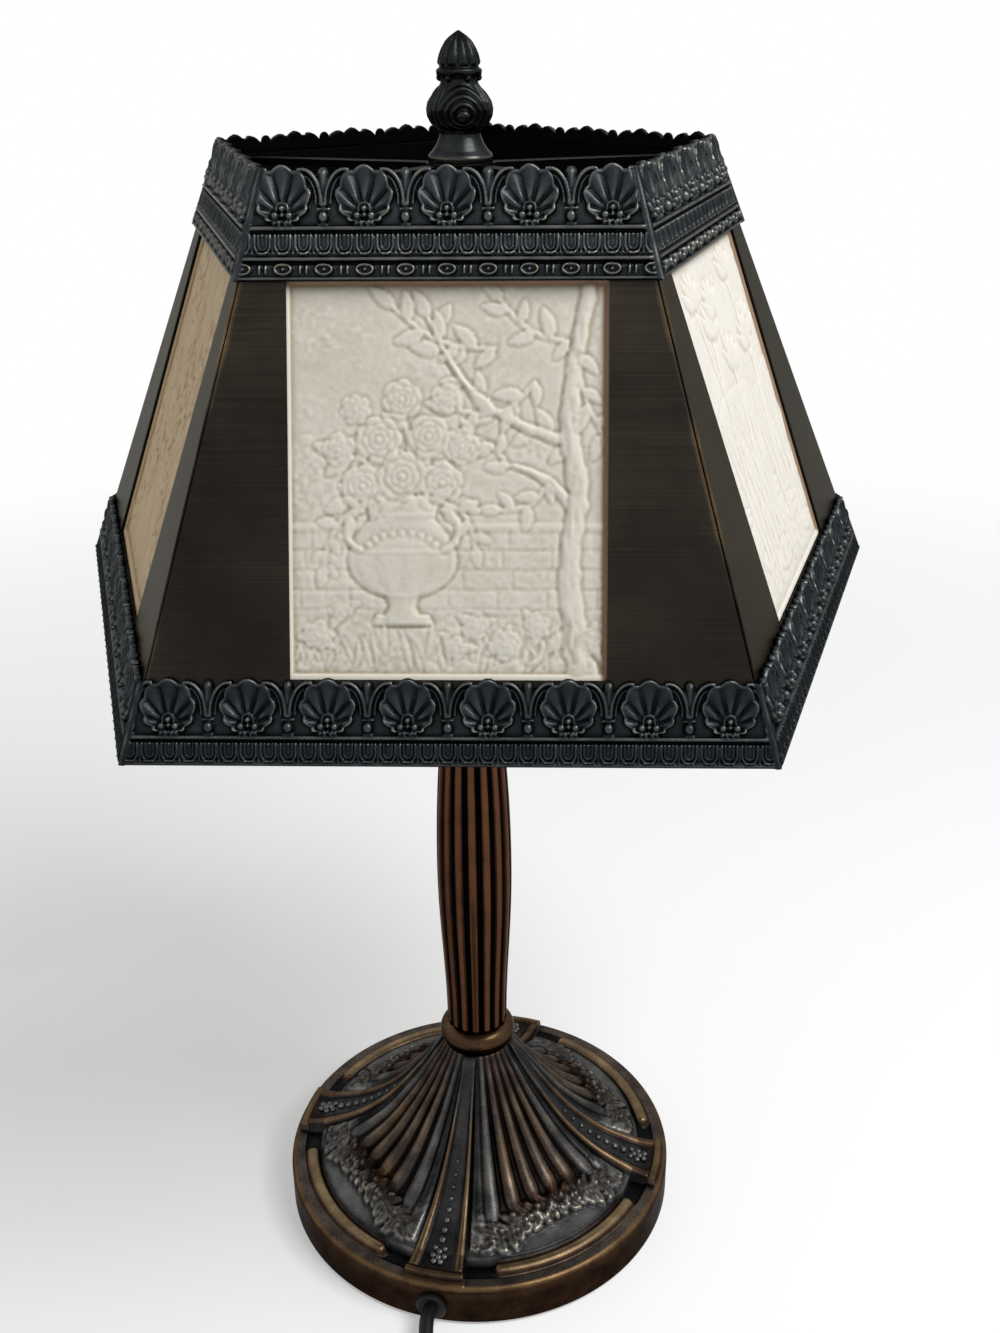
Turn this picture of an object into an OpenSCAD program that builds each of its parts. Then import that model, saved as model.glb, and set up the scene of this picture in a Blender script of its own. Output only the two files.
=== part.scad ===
// Table lamp with a five-sided lithophane shade on a fluted column and a round cast foot.
// Origin: the middle of the foot's underside, +Z up, the shade's front face towards -Y.
// Sizes are millimetres.

/* [Base] */
// Diameter of the foot at its rim
base_d = 178; // [165:1:220]
// Height of the cast base above its felt
base_h = 80.5; // [72:0.5:110]
// Height of the upright rim
rim_h = 19; // [16:0.5:26]
// Rounding of the rim's upper edge
rim_round = 3; // [1:0.5:4]
// Width of the flat ledge on top of the rim
ledge_w = 6; // [5:0.5:9]
// Width of the channel between the ledge and the bell
channel_w = 8; // [6:0.5:12]
// Rise of the bell's foot above the rim
bell_foot_rise = 2.5; // [1:0.25:5]
// Share of the bell's height that lies in its steep throat
bell_throat = 0.7; // [0.5:0.05:0.8]
// Radius of the neck under the column's ring
neck_r = 15; // [14:0.5:20]
// Wall of the casting
base_wall = 4; // [3:0.5:6]
// Depth of the boss that the centre pipe goes through
boss_l = 16; // [12:0.5:24]
// Groove left on each side of the roll moulding in the channel
roll_gap = 0.2; // [0.1:0.1:1]
// Number of straps over the bell
straps = 4; // [3:1:5]
// Angle that a strap covers
strap_angle = 17; // [12:1:24]
// Rise of a strap above the bell
strap_rise = 2; // [1.2:0.1:3]
// Height of the raised lines along a strap's edges
strap_edge_rise = 0.8; // [0.4:0.1:1.2]
// Flutes between two straps
bay_flutes = 7; // [5:1:9]
// Height of the ridges between the flutes
flute_rise = 1; // [0.6:0.1:1.6]
// Thickness of the felt under the foot
felt_t = 1.5; // [1:0.25:3]

/* [Column] */
// Height of the ring under the column
ring_h = 11; // [8:0.5:14]
// Radius of that ring
ring_r = 16.8; // [15:0.1:20]
// Length of the fluted column
column_h = 169; // [150:1:220]
// Radius of the column at its foot
column_foot_r = 13.4; // [12:0.1:16]
// Radius of the column at its fullest
column_belly_r = 16.1; // [15:0.1:20]
// Height of the fullest place above the column's foot
column_belly_h = 79; // [60:1:100]
// Radius of the column at its top
column_top_r = 10.5; // [9:0.1:14]
// Number of flutes round the column
column_flutes = 16; // [12:1:20]
// Depth of a column flute
column_flute_d = 1.5; // [0.8:0.1:2]
// Height of the cap on the column
column_cap_h = 8; // [5:0.5:12]
// Radius of that cap
column_cap_r = 13; // [12:0.1:16]

/* [Shade] */
// Radius from the axis to a corner of the skirt's lower edge
skirt_corner_r = 170; // [165:1:200]
// Radius from the axis to a corner of the crown's upper edge
crown_corner_r = 92.4; // [88:0.1:98]
// Thickness of the shade's sheet metal
sheet_t = 1; // [0.6:0.1:1.5]
// Slant height of the plain panel between skirt and crown
view_h = 118.2; // [112:0.2:125]
// Width of the window in a panel
window_w = 96.6; // [90:0.1:98]
// Slant height of the window in a panel
window_h = 120; // [112:0.5:123]
// Room between a plaque's top corners and the angle strips inside the corners
angle_gap = 3.2; // [2.5:0.1:6]
// Thickness of those angle strips and of the clips
strip_t = 0.8; // [0.5:0.1:1.2]

/* [Cast bands] */
// Thickness of a band's plate
band_t = 1.2; // [0.8:0.1:2]
// Height of the row of tongues
tongue_h = 8.9; // [7:0.1:11]
// Height of the bead and reel row under the crown's tongues
bead_h = 6.3; // [5:0.1:8]
// Height of the row of shells
shell_h = 18.5; // [16:0.1:22]
// Distance between neighbouring shells
shell_pitch = 24.4; // [23:0.1:26]
// Width of a shell
shell_w = 17.3; // [15:0.1:19]
// Ribs of a shell
shell_ribs = 9; // [7:2:11]
// Height of a shell's rim above the plate
shell_rise = 1.9; // [1.2:0.1:2.6]
// Shells on one side of the crown
crown_shells = 5; // [3:2:5]
// Shells on one side of the skirt
skirt_shells = 8; // [6:2:8]
// Tongues to one shell
tongues_per_shell = 4; // [3:1:5]

/* [Lithophanes] */
// Width of a porcelain plaque
plaque_w = 101.6; // [100:0.2:103]
// Height of a porcelain plaque
plaque_h = 127; // [124:0.5:130]
// Thickness of a porcelain plaque
plaque_t = 3; // [2:0.1:4]
// Depth of the picture field below the plaque's border
plaque_field_d = 0.6; // [0.2:0.1:1]
// Width of a clip along the plaque's edge
clip_w = 6; // [4:0.5:10]
// Reach of a clip over the plaque's back
clip_reach = 4; // [2:0.5:6]

/* [Light fitting] */
// Diameter of the threaded centre pipe
pipe_d = 10; // [9.5:0.1:12]
// Bore of the centre pipe
pipe_bore = 7; // [6.8:0.1:7.5]
// Length of the sleeve between the column and the cluster
sleeve_l = 30; // [20:1:40]
// Radius of that sleeve
sleeve_r = 7; // [6.6:0.1:9]
// Radius of the cluster body
cluster_r = 16; // [15:0.5:20]
// Height of the cluster body
cluster_h = 27; // [24:0.5:32]
// Radius of the wiring space in the cluster body
cluster_bore = 9; // [8:0.5:10]
// Length of the riser rod from the cluster body to the spider
riser_l = 132; // [130:1:145]
// Diameter of the riser rod
riser_d = 8; // [7:0.5:10]
// Diameter of the thread that the finial screws on
stud_d = 6; // [5:0.5:7]
// Length of that thread above the spider
stud_l = 15; // [12:0.5:17]
// Lean of the two sockets from upright
socket_lean = 28; // [24:1:30]
// Radius of the arms that carry the sockets
arm_r = 5; // [4:0.5:6]
// Radius of a socket shell
shell_tube_r = 17; // [16.5:0.1:19]
// Length of a socket shell
shell_tube_l = 42; // [38:0.5:46]
// Wall of the socket's brass parts
brass_t = 0.8; // [0.5:0.1:1.2]
// Height of a socket cap
socket_cap_h = 14; // [12:0.5:18]
// Radius of a bulb's screw base
bulb_base_r = 13; // [12.5:0.1:13.5]
// Length of a bulb's screw base
bulb_base_l = 25; // [23:0.5:27]
// Radius of a bulb's globe
bulb_r = 24; // [20:0.5:26]
// Length of a bulb's glass beyond its screw base
bulb_l = 67; // [60:1:70]
// Length of a switch key's grip
key_l = 13; // [10:0.5:18]
// Width of a switch key's grip
key_w = 8; // [6:0.5:12]

/* [Spider and finial] */
// Radius of the spider's hub
hub_r = 12; // [11.5:0.5:16]
// Width of a spider arm
spider_arm_w = 6; // [4:0.5:8]
// Thickness of the spider
spider_t = 2.4; // [1.6:0.1:3]
// Drop of the spider's underside below the tips of the crown
spider_drop = 9; // [8:0.5:12]
// Radius of the finial's foot
finial_foot_r = 11.6; // [9:0.1:12]
// Radius of the finial's bulge
finial_bulge_r = 11.5; // [9:0.1:13]
// Radius of the finial's bud
finial_bud_r = 7.2; // [6:0.1:8]
// Height of the finial
finial_h = 41.5; // [36:0.5:50]

/* [Cord] */
// Diameter of the cord
cord_d = 6.2; // [5:0.1:6.3]
// Height of the cord's hole above the table
cord_z = 10; // [9.5:0.5:12]
// Radius of the grommet's flange
grommet_r = 6.5; // [6:0.1:7.5]
// Turns of the cord in the coil, half of them in each layer
coil_turns = 7; // [5:2:9]
// Radius of the coil's outermost turn
coil_r = 49.7; // [48:0.1:52]
// Distance between neighbouring turns
coil_pitch = 7.1; // [7:0.1:7.4]
// Thickness of the tie round the coil
tie_t = 1; // [0.6:0.1:1.4]
// Width of that tie
tie_w = 5; // [3:0.5:8]

/* [Fits] */
// Clearance between pieces that slide into each other
slip = 0.1; // [0.05:0.05:0.2]
// Clearance between pieces that turn on each other
turn_gap = 0.2; // [0.1:0.05:0.3]

/* [Hidden] */
$fn = 48;
sides = 5;
side_angle = 360 / sides;
half_angle = side_angle / 2;
far = 400;
overcut = 1;

// Base, as heights above the casting's underside
base_r = base_d / 2;
bell_foot_r = base_r - ledge_w - channel_w;
bell_foot_z = rim_h + bell_foot_rise;
bell_h = base_h - bell_foot_z;
bell_power = 2.6;
bell_steps = 14;
channel_d = 1.2;
roll_stop = 9;
bay_angle = 360 / straps;
first_strap = -101;
curl_r = 2.2;
curl_in = 4.4;
flute_start_r = neck_r + 3;
flute_mid_in = 23;
flute_side_in = 10;
flute_mid_r = bell_foot_r - flute_mid_in;
flute_side_r = bell_foot_r - flute_side_in;
strap_bead_r = 1.2;
strap_beads = 7;
strap_bead_pitch = 4.4;
felt_inset = 1.5;

// Heights of the stand's pieces above the table
casting_z = felt_t;
ring_z = casting_z + base_h;
column_z = ring_z + ring_h;
column_cap_z = column_z + column_h;
sleeve_z = column_cap_z + column_cap_h;
cluster_z = sleeve_z + sleeve_l;
cluster_top = cluster_z + cluster_h;
hub_z = cluster_top + riser_l;
pipe_r = pipe_d / 2;
boss_z = casting_z + base_h - boss_l;
base_washer_r = 13;
base_washer_t = 1.6;
base_nut_h = 6;
base_nut_r = 9.5;
pipe_tail = 3;
pipe_z = boss_z - base_washer_t - base_nut_h - pipe_tail;
pipe_seat = 12;
pipe_top = cluster_z + pipe_seat;

// Cluster body and its two arms
cover_t = 2.5;
cover_r = cluster_bore + 2;
cover_boss_r = riser_d / 2 + 2.5;
cover_boss_h = 5;
riser_z = cluster_top - 6;
riser_r = riser_d / 2;
stud_r = stud_d / 2;
seat_nut_h = 3;
seat_nut_r = 8;
arm_root_x = 10;
arm_root_z = cluster_z + cluster_h / 2;
arm_bore = 2.5;
arm_seat = 5;
arm_margin = 2.3;
// Distance along a socket's axis from the arm's root to the socket cap
socket_s = (cluster_r - arm_root_x) * sin(socket_lean) + cluster_h / 2 * cos(socket_lean) + arm_margin;
cap_floor = 2;
cap_lap = 4;
cap_neck_r = arm_r + 2;
core_s = socket_cap_h - 2;
shell_s = socket_cap_h - cap_lap;
core_r = shell_tube_r - brass_t - slip;
key_r = 2;
key_s = socket_cap_h + key_r + 1;
base_s = key_s + key_r + 2;
glass_s = base_s + bulb_base_l;
core_l = glass_s - core_s - 3;
key_depth = 9;
key_t = 2.6;
contact_r = 4;
contact_h = 2;

// Shade, with v as the slant height above the skirt's lower edge
skirt_h = tongue_h + shell_h;
crown_v = skirt_h + view_h;
crown_h = bead_h + tongue_h + shell_h;
shade_slant = crown_v + crown_h;
skirt_apothem = skirt_corner_r * cos(half_angle);
shade_lean = asin((skirt_apothem - crown_corner_r * cos(half_angle)) / shade_slant);
spider_h = shade_slant * cos(shade_lean) - spider_drop;
shade_z = hub_z - spider_h;
panel_foot = 3;
panel_top = (spider_h + spider_t) / cos(shade_lean);
plaque_v = skirt_h + view_h / 2 - plaque_h / 2;
window_v = skirt_h + view_h / 2 - window_h / 2;
plaque_w_out = -sheet_t - slip;
plaque_border = 2;
angle_foot = 14;
angle_w = side_half(plaque_v + plaque_h, -sheet_t) - plaque_w / 2 - angle_gap;
mitre_gap = 0.1;
clip_rows = [0.14, 0.84];
plate_lean_r = sheet_t / cos(shade_lean);
// Reach of a spider arm into the corner of the panels
spider_corner_r = (apothem_at(panel_top) - plate_lean_r) / cos(half_angle);
spider_reach = spider_corner_r - spider_arm_w / 2 / tan(90 - half_angle) - turn_gap;

// Relief of the bands
line_r = 1.1;
tongue_pitch = shell_pitch / tongues_per_shell;
tongue_r = tongue_pitch * 0.42;
bead_pitch = 2 * tongue_pitch;
bead_r = bead_h / 2 - line_r / 2;
reel_r = bead_r - 0.5;
reel_t = 1.2;
shell_hinge = 3.6;
shell_fan = 100;
shell_lobe = 0.5;
shell_floor = 0.3;
shell_top_r = shell_h - 0.9 - shell_hinge;
bud_foot = 4.5;
bud_top = 12.8;
bud_r = 2;
knob_r = 1.9;

// Finial
finial_z = hub_z + spider_t + slip;
finial_bore_h = stud_l + 1;
finial_waist_r = 7.4;
finial_neck_r = 6.6;
finial_stations = [
    [0, finial_foot_r], [0.05, finial_foot_r], [0.21, finial_waist_r], [0.41, finial_bulge_r],
    [0.6, finial_neck_r], [0.68, finial_bud_r + 0.5], [0.72, finial_bud_r], [0.86, 5.6], [0.95, 3.2], [1, 0.4]
];
finial_steps = 6;
gadroons = 8;
gadroon_r = 3.6;
bud_ribs = 8;
bud_rib_r = 1.1;
bud_rib_lean = 16;

// Cord: route points are places on the table in front of the foot
cord_r = cord_d / 2;
cord_out = [cos(first_strap), sin(first_strap), 0];
flange_t = 2.2;
grommet_out_r = base_r + slip + flange_t;
grommet_shank_r = cord_r + slip + 1.8;
grommet_lip_r = grommet_shank_r + 0.2;
grommet_in_r = sqrt(pow(base_r - base_wall, 2) - pow(grommet_lip_r, 2)) - 3 * slip;
inner_bend_r = 14;
coil_centre = [-6, -176, 0];
coil_start = 150;
coil_rings = 24;
coil_end_run = cord_d;
coil_heading = [-sin(coil_start), cos(coil_start), 0];
coil_z = tie_t + slip + cord_r;
coil_low = coil_centre + [coil_r * cos(coil_start), coil_r * sin(coil_start), coil_z];
coil_high = coil_low + [0, 0, coil_pitch];
lead_exit = cord_out * grommet_out_r + [0, 0, cord_z];
lead_route = [
    lead_exit, lead_exit + cord_out * cord_d, [-18.4, -103.5, 7.6], [-17.6, -112, 4.8],
    [-19.6, -120.6, 3.6], [-27.8, -131, 3.5],
    coil_low - 2 * coil_heading * coil_end_run, coil_low - coil_heading * coil_end_run
];
plug_at = [-76, -196, 7.2];
tail_route = [
    coil_high + coil_heading * coil_end_run, coil_high + 2 * coil_heading * coil_end_run,
    [-63, -173.5, 9.4], plug_at - coil_heading * cord_d, plug_at
];
plug_neck_r = 5.6;
plug_neck_l = 24;
plug_neck_out_r = 4;
plug_w = 26;
plug_h = 14;
plug_l = 22;
blade_w = 6.4;
blade_t = 1.5;
blade_l = 17;
blade_gap = 12.7;

// Distance from the shade's axis to the outer face of a panel at slant height v
function apothem_at(v) = skirt_apothem - v * sin(shade_lean);
// Half the width of a side at slant height v and depth w, cut back by a gap
function side_half(v, w = 0, gap = 0) = (apothem_at(v) + w * cos(shade_lean)) * tan(half_angle) - gap;

function backwards(list) = [for (k = [len(list) - 1:-1:0]) list[k]];
function unit(v) = v / norm(v);
function ease(t) = (1 - cos(180 * t)) / 2;

// A closed solid through rings of points, all of them with the same count
module loft(rings) {
    n = len(rings);
    m = len(rings[0]);
    first = n * m;
    points = concat([for (ring = rings) for (p = ring) p], [middle(rings[0]), middle(rings[n - 1])]);
    walls = [
        for (i = [0:n - 2]) for (j = [0:m - 1]) let (a = i * m + j, b = i * m + (j + 1) % m)
            each [[a, a + m, b], [b, a + m, b + m]]
    ];
    foot = [for (j = [0:m - 1]) [first, j, (j + 1) % m]];
    head = [for (j = [0:m - 1]) [first + 1, (n - 1) * m + (j + 1) % m, (n - 1) * m + j]];
    polyhedron(points = points, faces = concat(walls, foot, head), convexity = 6);
}
function middle(ring) = [for (k = [0:2]) sum([for (p = ring) p[k]]) / len(ring)];
function sum(list, k = 0) = k < len(list) ? list[k] + sum(list, k + 1) : 0;

// A round tube along a route, with one ring at each of its points
module tube(route, r, facets) {
    n = len(route);
    loft([
        for (i = [0:n - 1]) let (
            along = unit(route[min(i + 1, n - 1)] - route[max(i - 1, 0)]),
            side = unit(cross(along, [0, 0, 1])),
            up = cross(side, along)
        ) [
            for (j = [0:facets - 1]) let (a = 360 * j / facets + 90)
                route[i] + r * (cos(a) * side + sin(a) * up)
        ]
    ]);
}

// Base

// Height of the bell's surface at radius r
function bell_z(r) = let (t = (r - neck_r) / (bell_foot_r - neck_r))
    bell_foot_z + bell_h * (bell_throat * pow(1 - t, bell_power) + (1 - bell_throat) * (1 - t));
// The bell's outline from one radius to another, lifted and moved in
function bell(from, to, lift = 0, inwards = 0, steps = bell_steps) =
    [for (k = [0:steps]) let (r = from + (to - from) * k / steps) [r - inwards, bell_z(r) + lift]];

module rim_and_bell() {
    round_edge = [
        for (a = [0:15:90])
            [base_r - rim_round + rim_round * cos(a), rim_h - rim_round + rim_round * sin(a)]
    ];
    polygon(concat(
        [[0, 0], [base_r, 0]], round_edge,
        [[base_r - ledge_w, rim_h], [base_r - ledge_w - channel_d, rim_h - channel_d]],
        [[bell_foot_r, rim_h - channel_d]], bell(bell_foot_r, neck_r), [[0, base_h]]
    ));
}

module base_hollow() {
    intersection() {
        polygon(concat(
            [[0, -overcut], [base_r - base_wall, -overcut]],
            [[base_r - base_wall, rim_h - base_wall - channel_d]],
            bell(bell_foot_r, neck_r, -base_wall, base_wall), [[0, base_h - base_wall]]
        ));
        translate([0, -overcut]) square([base_r, base_h - boss_l + overcut]);
    }
}

// A slice of revolution between two angles
module slice(from, span) rotate([0, 0, from]) rotate_extrude(angle = span) children();

// A ridge that follows the bell from one radius to another
module bell_ridge(from, to, lift) {
    polygon(concat(bell(from, to, lift, steps = 8), backwards(bell(from, to, -overcut, steps = 8))));
}

// A strap's section: over the bell, across the channel and down into the ledge
module strap_outline(lift) {
    start = neck_r + lift / 2;
    top = rim_h + strap_rise + lift / 2;
    end = base_r - curl_in + lift;
    polygon(concat(
        bell(start, bell_foot_r, lift),
        [[base_r - ledge_w - curl_r, top], [base_r - curl_in, top], [end, rim_h + lift / 2]],
        [[end, rim_h - lift - channel_d], [bell_foot_r, rim_h - lift - channel_d]],
        backwards(bell(start, bell_foot_r, -lift / 2))
    ));
}

module strap() {
    edge = strap_angle / 10;
    inset = edge / 4;
    slice(-strap_angle / 2, strap_angle) strap_outline(strap_rise);
    slice(-strap_angle / 2 - inset, strap_angle + 2 * inset)
        translate([base_r - curl_in, rim_h + strap_rise]) circle(curl_r);
    for (from = [inset - strap_angle / 2, strap_angle / 2 - edge - inset])
        slice(from, edge) strap_outline(strap_rise + strap_edge_rise);
    for (k = [0:strap_beads - 1]) {
        r = bell_foot_r - k * strap_bead_pitch;
        translate([r, 0, bell_z(r) + strap_rise]) sphere(strap_bead_r + (strap_beads - k) / 10);
    }
}

module bay() {
    step = (bay_angle - strap_angle) / bay_flutes;
    for (k = [1:bay_flutes - 1]) {
        out = flute_mid_r + (flute_side_r - flute_mid_r) * pow(abs(2 * k / bay_flutes - 1), 2);
        slice(strap_angle / 2 + (k - 0.22) * step, 0.44 * step) bell_ridge(flute_start_r, out, flute_rise);
    }
}

// The roll lies in the channel between two straps and stops short of both
module roll() {
    slice(strap_angle / 2 + roll_stop, bay_angle - strap_angle - 2 * roll_stop)
        translate([bell_foot_r + channel_w / 2, rim_h - channel_d]) circle(channel_w / 2 - roll_gap);
}

module base_casting() {
    color("#4a3527") translate([0, 0, casting_z]) difference() {
        union() {
            rotate_extrude() rim_and_bell();
            for (k = [0:straps - 1]) rotate([0, 0, first_strap + k * bay_angle]) {
                strap();
                bay();
                roll();
            }
        }
        rotate_extrude() base_hollow();
        cylinder(h = base_h + overcut, r = pipe_r + slip);
        at_grommet(casting_z) translate([0, 0, base_r - 2 * base_wall])
            cylinder(h = 3 * base_wall, r = grommet_shank_r + slip);
    }
}

module base_felt() {
    color("#2b2a28") cylinder(h = felt_t, r = base_r - felt_inset);
}

module base_washer() {
    color("#b08d4a") translate([0, 0, boss_z - base_washer_t]) difference() {
        cylinder(h = base_washer_t, r = base_washer_r);
        translate([0, 0, -overcut]) cylinder(h = base_washer_t + 2 * overcut, r = pipe_r + slip);
    }
}

module base_nut() {
    color("#a88c50") translate([0, 0, boss_z - base_washer_t - base_nut_h]) difference() {
        cylinder(h = base_nut_h, r = base_nut_r, $fn = 6);
        translate([0, 0, -overcut]) cylinder(h = base_nut_h + 2 * overcut, r = pipe_r + slip);
    }
}

// Column

function column_r(h) = h < column_belly_h
    ? column_foot_r + (column_belly_r - column_foot_r) * pow(sin(90 * h / column_belly_h), 2)
    : column_belly_r - (column_belly_r - column_top_r)
        * pow((h - column_belly_h) / (column_h - column_belly_h), 2);

module pipe_hole(z, h) translate([0, 0, z - overcut]) cylinder(h = h + 2 * overcut, r = pipe_r + slip);

module column_ring() {
    round_r = ring_h / 2;
    color("#6a4a2c") difference() {
        translate([0, 0, ring_z]) rotate_extrude() {
            square([ring_r - round_r, ring_h]);
            translate([ring_r - round_r, round_r]) circle(round_r);
        }
        pipe_hole(ring_z, ring_h);
    }
}

module column() {
    flute = 360 / column_flutes;
    corners = [[-0.17, 0], [0.17, 0], [0.33, 1], [0.67, 1]];
    heights = [for (k = [0:10]) column_h * k / 10];
    color("#4c2a1c") difference() {
        translate([0, 0, column_z]) loft([
            for (h = heights) [
                for (k = [0:column_flutes - 1]) for (c = corners)
                    let (a = (k + c[0]) * flute, r = column_r(h) - c[1] * column_flute_d)
                        [r * cos(a), r * sin(a), h]
            ]
        ]);
        pipe_hole(column_z, column_h);
    }
}

module column_cap() {
    lip = column_cap_h / 2;
    color("#5b3d26") difference() {
        translate([0, 0, column_cap_z]) rotate_extrude() polygon([
            [0, 0], [column_top_r, 0], [column_cap_r, lip], [column_cap_r, column_cap_h - 1],
            [column_cap_r - 1, column_cap_h], [0, column_cap_h]
        ]);
        pipe_hole(column_cap_z, column_cap_h);
    }
}

module neck_sleeve() {
    color("#8a6b3a") difference() {
        translate([0, 0, sleeve_z]) cylinder(h = sleeve_l, r = sleeve_r);
        pipe_hole(sleeve_z, sleeve_l);
    }
}

module centre_pipe() {
    color("#b08d4a") translate([0, 0, pipe_z]) difference() {
        cylinder(h = pipe_top - pipe_z, r = pipe_r);
        translate([0, 0, -overcut]) cylinder(h = pipe_top - pipe_z + 2 * overcut, d = pipe_bore);
    }
}

// Light fitting

// Places a child on a socket's axis, at a distance along it from the arm's root
module on_socket(side, s) {
    translate([side * arm_root_x, 0, arm_root_z]) rotate([0, side * socket_lean, 0])
        translate([0, 0, s]) children();
}

module cluster_body() {
    belly = 2;
    color("#8f713c") difference() {
        union() {
            translate([0, 0, cluster_z]) rotate_extrude() polygon([
                [0, 0], [sleeve_r + 1, 0], [cluster_r, 3 * belly], [cluster_r, cluster_h - belly],
                [cluster_r - belly, cluster_h], [0, cluster_h]
            ]);
            for (side = [-1, 1]) on_socket(side, 0) cylinder(h = socket_s + arm_seat, r = arm_r);
        }
        pipe_hole(cluster_z, pipe_seat - overcut);
        translate([0, 0, pipe_top]) cylinder(h = cluster_h, r = cluster_bore);
        for (side = [-1, 1]) on_socket(side, 0) cylinder(h = socket_s + arm_seat + overcut, r = arm_bore);
    }
}

module cluster_cover() {
    color("#8f713c") translate([0, 0, cluster_top]) difference() {
        union() {
            cylinder(h = cover_t, r = cover_r);
            cylinder(h = cover_boss_h, r = cover_boss_r);
        }
        translate([0, 0, -overcut]) cylinder(h = cover_boss_h + 2 * overcut, r = riser_r + slip);
    }
}

module riser_rod() {
    color("#a88c50") {
        translate([0, 0, riser_z]) cylinder(h = hub_z - turn_gap - riser_z, r = riser_r);
        translate([0, 0, riser_z]) cylinder(h = hub_z + spider_t + stud_l - riser_z, r = stud_r);
    }
}

module seat_nut() {
    color("#a88c50") translate([0, 0, hub_z - turn_gap - seat_nut_h]) difference() {
        cylinder(h = seat_nut_h, r = seat_nut_r, $fn = 6);
        translate([0, 0, -overcut]) cylinder(h = seat_nut_h + 2 * overcut, r = riser_r + slip);
    }
}

module socket_cap(side) {
    out_r = shell_tube_r + slip + brass_t;
    lap_s = shell_s - brass_t - slip;
    bow = [
        for (a = [0:15:90])
            [cap_neck_r + (out_r - cap_neck_r) * sin(a), cap_floor + (lap_s - cap_floor) * (1 - cos(a))]
    ];
    bow_in = [for (p = bow) [p[0] - brass_t, p[1] + (p[0] - cap_neck_r > 0 ? brass_t : cap_floor)]];
    color("#b9923f") on_socket(side, socket_s) rotate_extrude() polygon(concat(
        [[arm_r + slip, 0], [cap_neck_r, 0]], bow, [[out_r, socket_cap_h], [out_r - brass_t, socket_cap_h]],
        backwards([for (p = bow_in) if (p[1] < socket_cap_h - 1) p]), [[arm_r + slip, cap_floor]]
    ));
}

module socket_shell(side) {
    color("#b9923f") difference() {
        on_socket(side, socket_s + shell_s) difference() {
            cylinder(h = shell_tube_l, r = shell_tube_r);
            translate([0, 0, -overcut]) cylinder(h = shell_tube_l + 2 * overcut, r = shell_tube_r - brass_t);
        }
        key_axis(side, key_r + slip, shell_tube_r / 2, shell_tube_r);
    }
}

module socket_core(side) {
    color("#2a211c") difference() {
        on_socket(side, socket_s + core_s) difference() {
            cylinder(h = core_l, r = core_r);
            translate([0, 0, base_s - core_s]) cylinder(h = core_l, r = bulb_base_r + slip);
            translate([0, 0, base_s - core_s - contact_h - slip]) cylinder(h = core_l, r = contact_r + slip);
        }
        key_axis(side, key_r + slip, shell_tube_r - key_depth, key_depth + overcut);
    }
}

// A round bar on a switch key's axis, which leaves the socket towards the front
module key_axis(side, r, from, l) {
    on_socket(side, socket_s + key_s) rotate([90, 0, 0]) translate([0, 0, from]) cylinder(h = l, r = r);
}

module switch_key(side) {
    neck = 3;
    stem_from = shell_tube_r - key_depth + turn_gap;
    grip_from = shell_tube_r + neck;
    color("#241f1d") {
        key_axis(side, key_r, stem_from, grip_from + key_l / 2 - stem_from);
        on_socket(side, socket_s + key_s) translate([0, -grip_from, 0]) rotate([0, 90, 0])
            linear_extrude(key_t, center = true) polygon(concat(
                [[-key_w / 4, 0], [key_w / 4, 0], [key_w / 2, -key_w / 3]],
                [for (a = [0:-15:-180]) [key_w / 2 * cos(a), key_w / 2 * sin(a) - key_l]],
                [[-key_w / 2, -key_w / 3]]
            ));
    }
}

module bulb_base(side) {
    color("#c8a45a") on_socket(side, socket_s + base_s) {
        cylinder(h = bulb_base_l, r = bulb_base_r);
        translate([0, 0, -contact_h]) cylinder(h = contact_h + overcut, r = contact_r);
    }
}

module bulb_glass(side) {
    neck_r2 = bulb_base_r - 0.6;
    globe_s = bulb_l - bulb_r;
    globe = [for (a = [-50:10:90]) [bulb_r * cos(a), globe_s + bulb_r * sin(a)]];
    color("#f3f1ea") on_socket(side, socket_s + glass_s) rotate_extrude()
        polygon(concat([[0, 0], [neck_r2, 0], [neck_r2, 5]], globe));
}

// Shade

// Turns a panel drawn flat in x and y, outer side up, onto side number i of the shade
module on_side(i) {
    rotate([0, 0, side_angle * i]) translate([0, -skirt_apothem, shade_z])
        rotate([90 - shade_lean, 0, 0]) children();
}

// The wedge of space that belongs to side number i
module mitre(i) {
    back = mitre_gap / sin(half_angle);
    rotate([0, 0, side_angle * i]) translate([0, -back, 0]) linear_extrude(shade_z + far)
        polygon([[0, 0], [-far * tan(half_angle), -far], [far * tan(half_angle), -far]]);
}

module panel(i) {
    in = -sheet_t;
    foot = side_half(panel_foot, in, mitre_gap);
    head = side_half(panel_top, in, mitre_gap);
    color("#241c15") on_side(i) translate([0, 0, in]) linear_extrude(sheet_t) difference() {
        polygon([[-foot, panel_foot], [foot, panel_foot], [head, panel_top], [-head, panel_top]]);
        translate([-window_w / 2, window_v]) square([window_w, window_h]);
    }
}

module plaque(i) {
    field = [plaque_w - 2 * plaque_border, plaque_h - 2 * plaque_border];
    middle_v = plaque_v + plaque_h / 2;
    color("#e4decb") on_side(i) translate([0, middle_v, plaque_w_out - plaque_t / 2]) difference() {
        cube([plaque_w, plaque_h, plaque_t], center = true);
        translate([0, 0, plaque_t / 2]) cube([field[0], field[1], 2 * plaque_field_d], center = true);
    }
}

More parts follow.
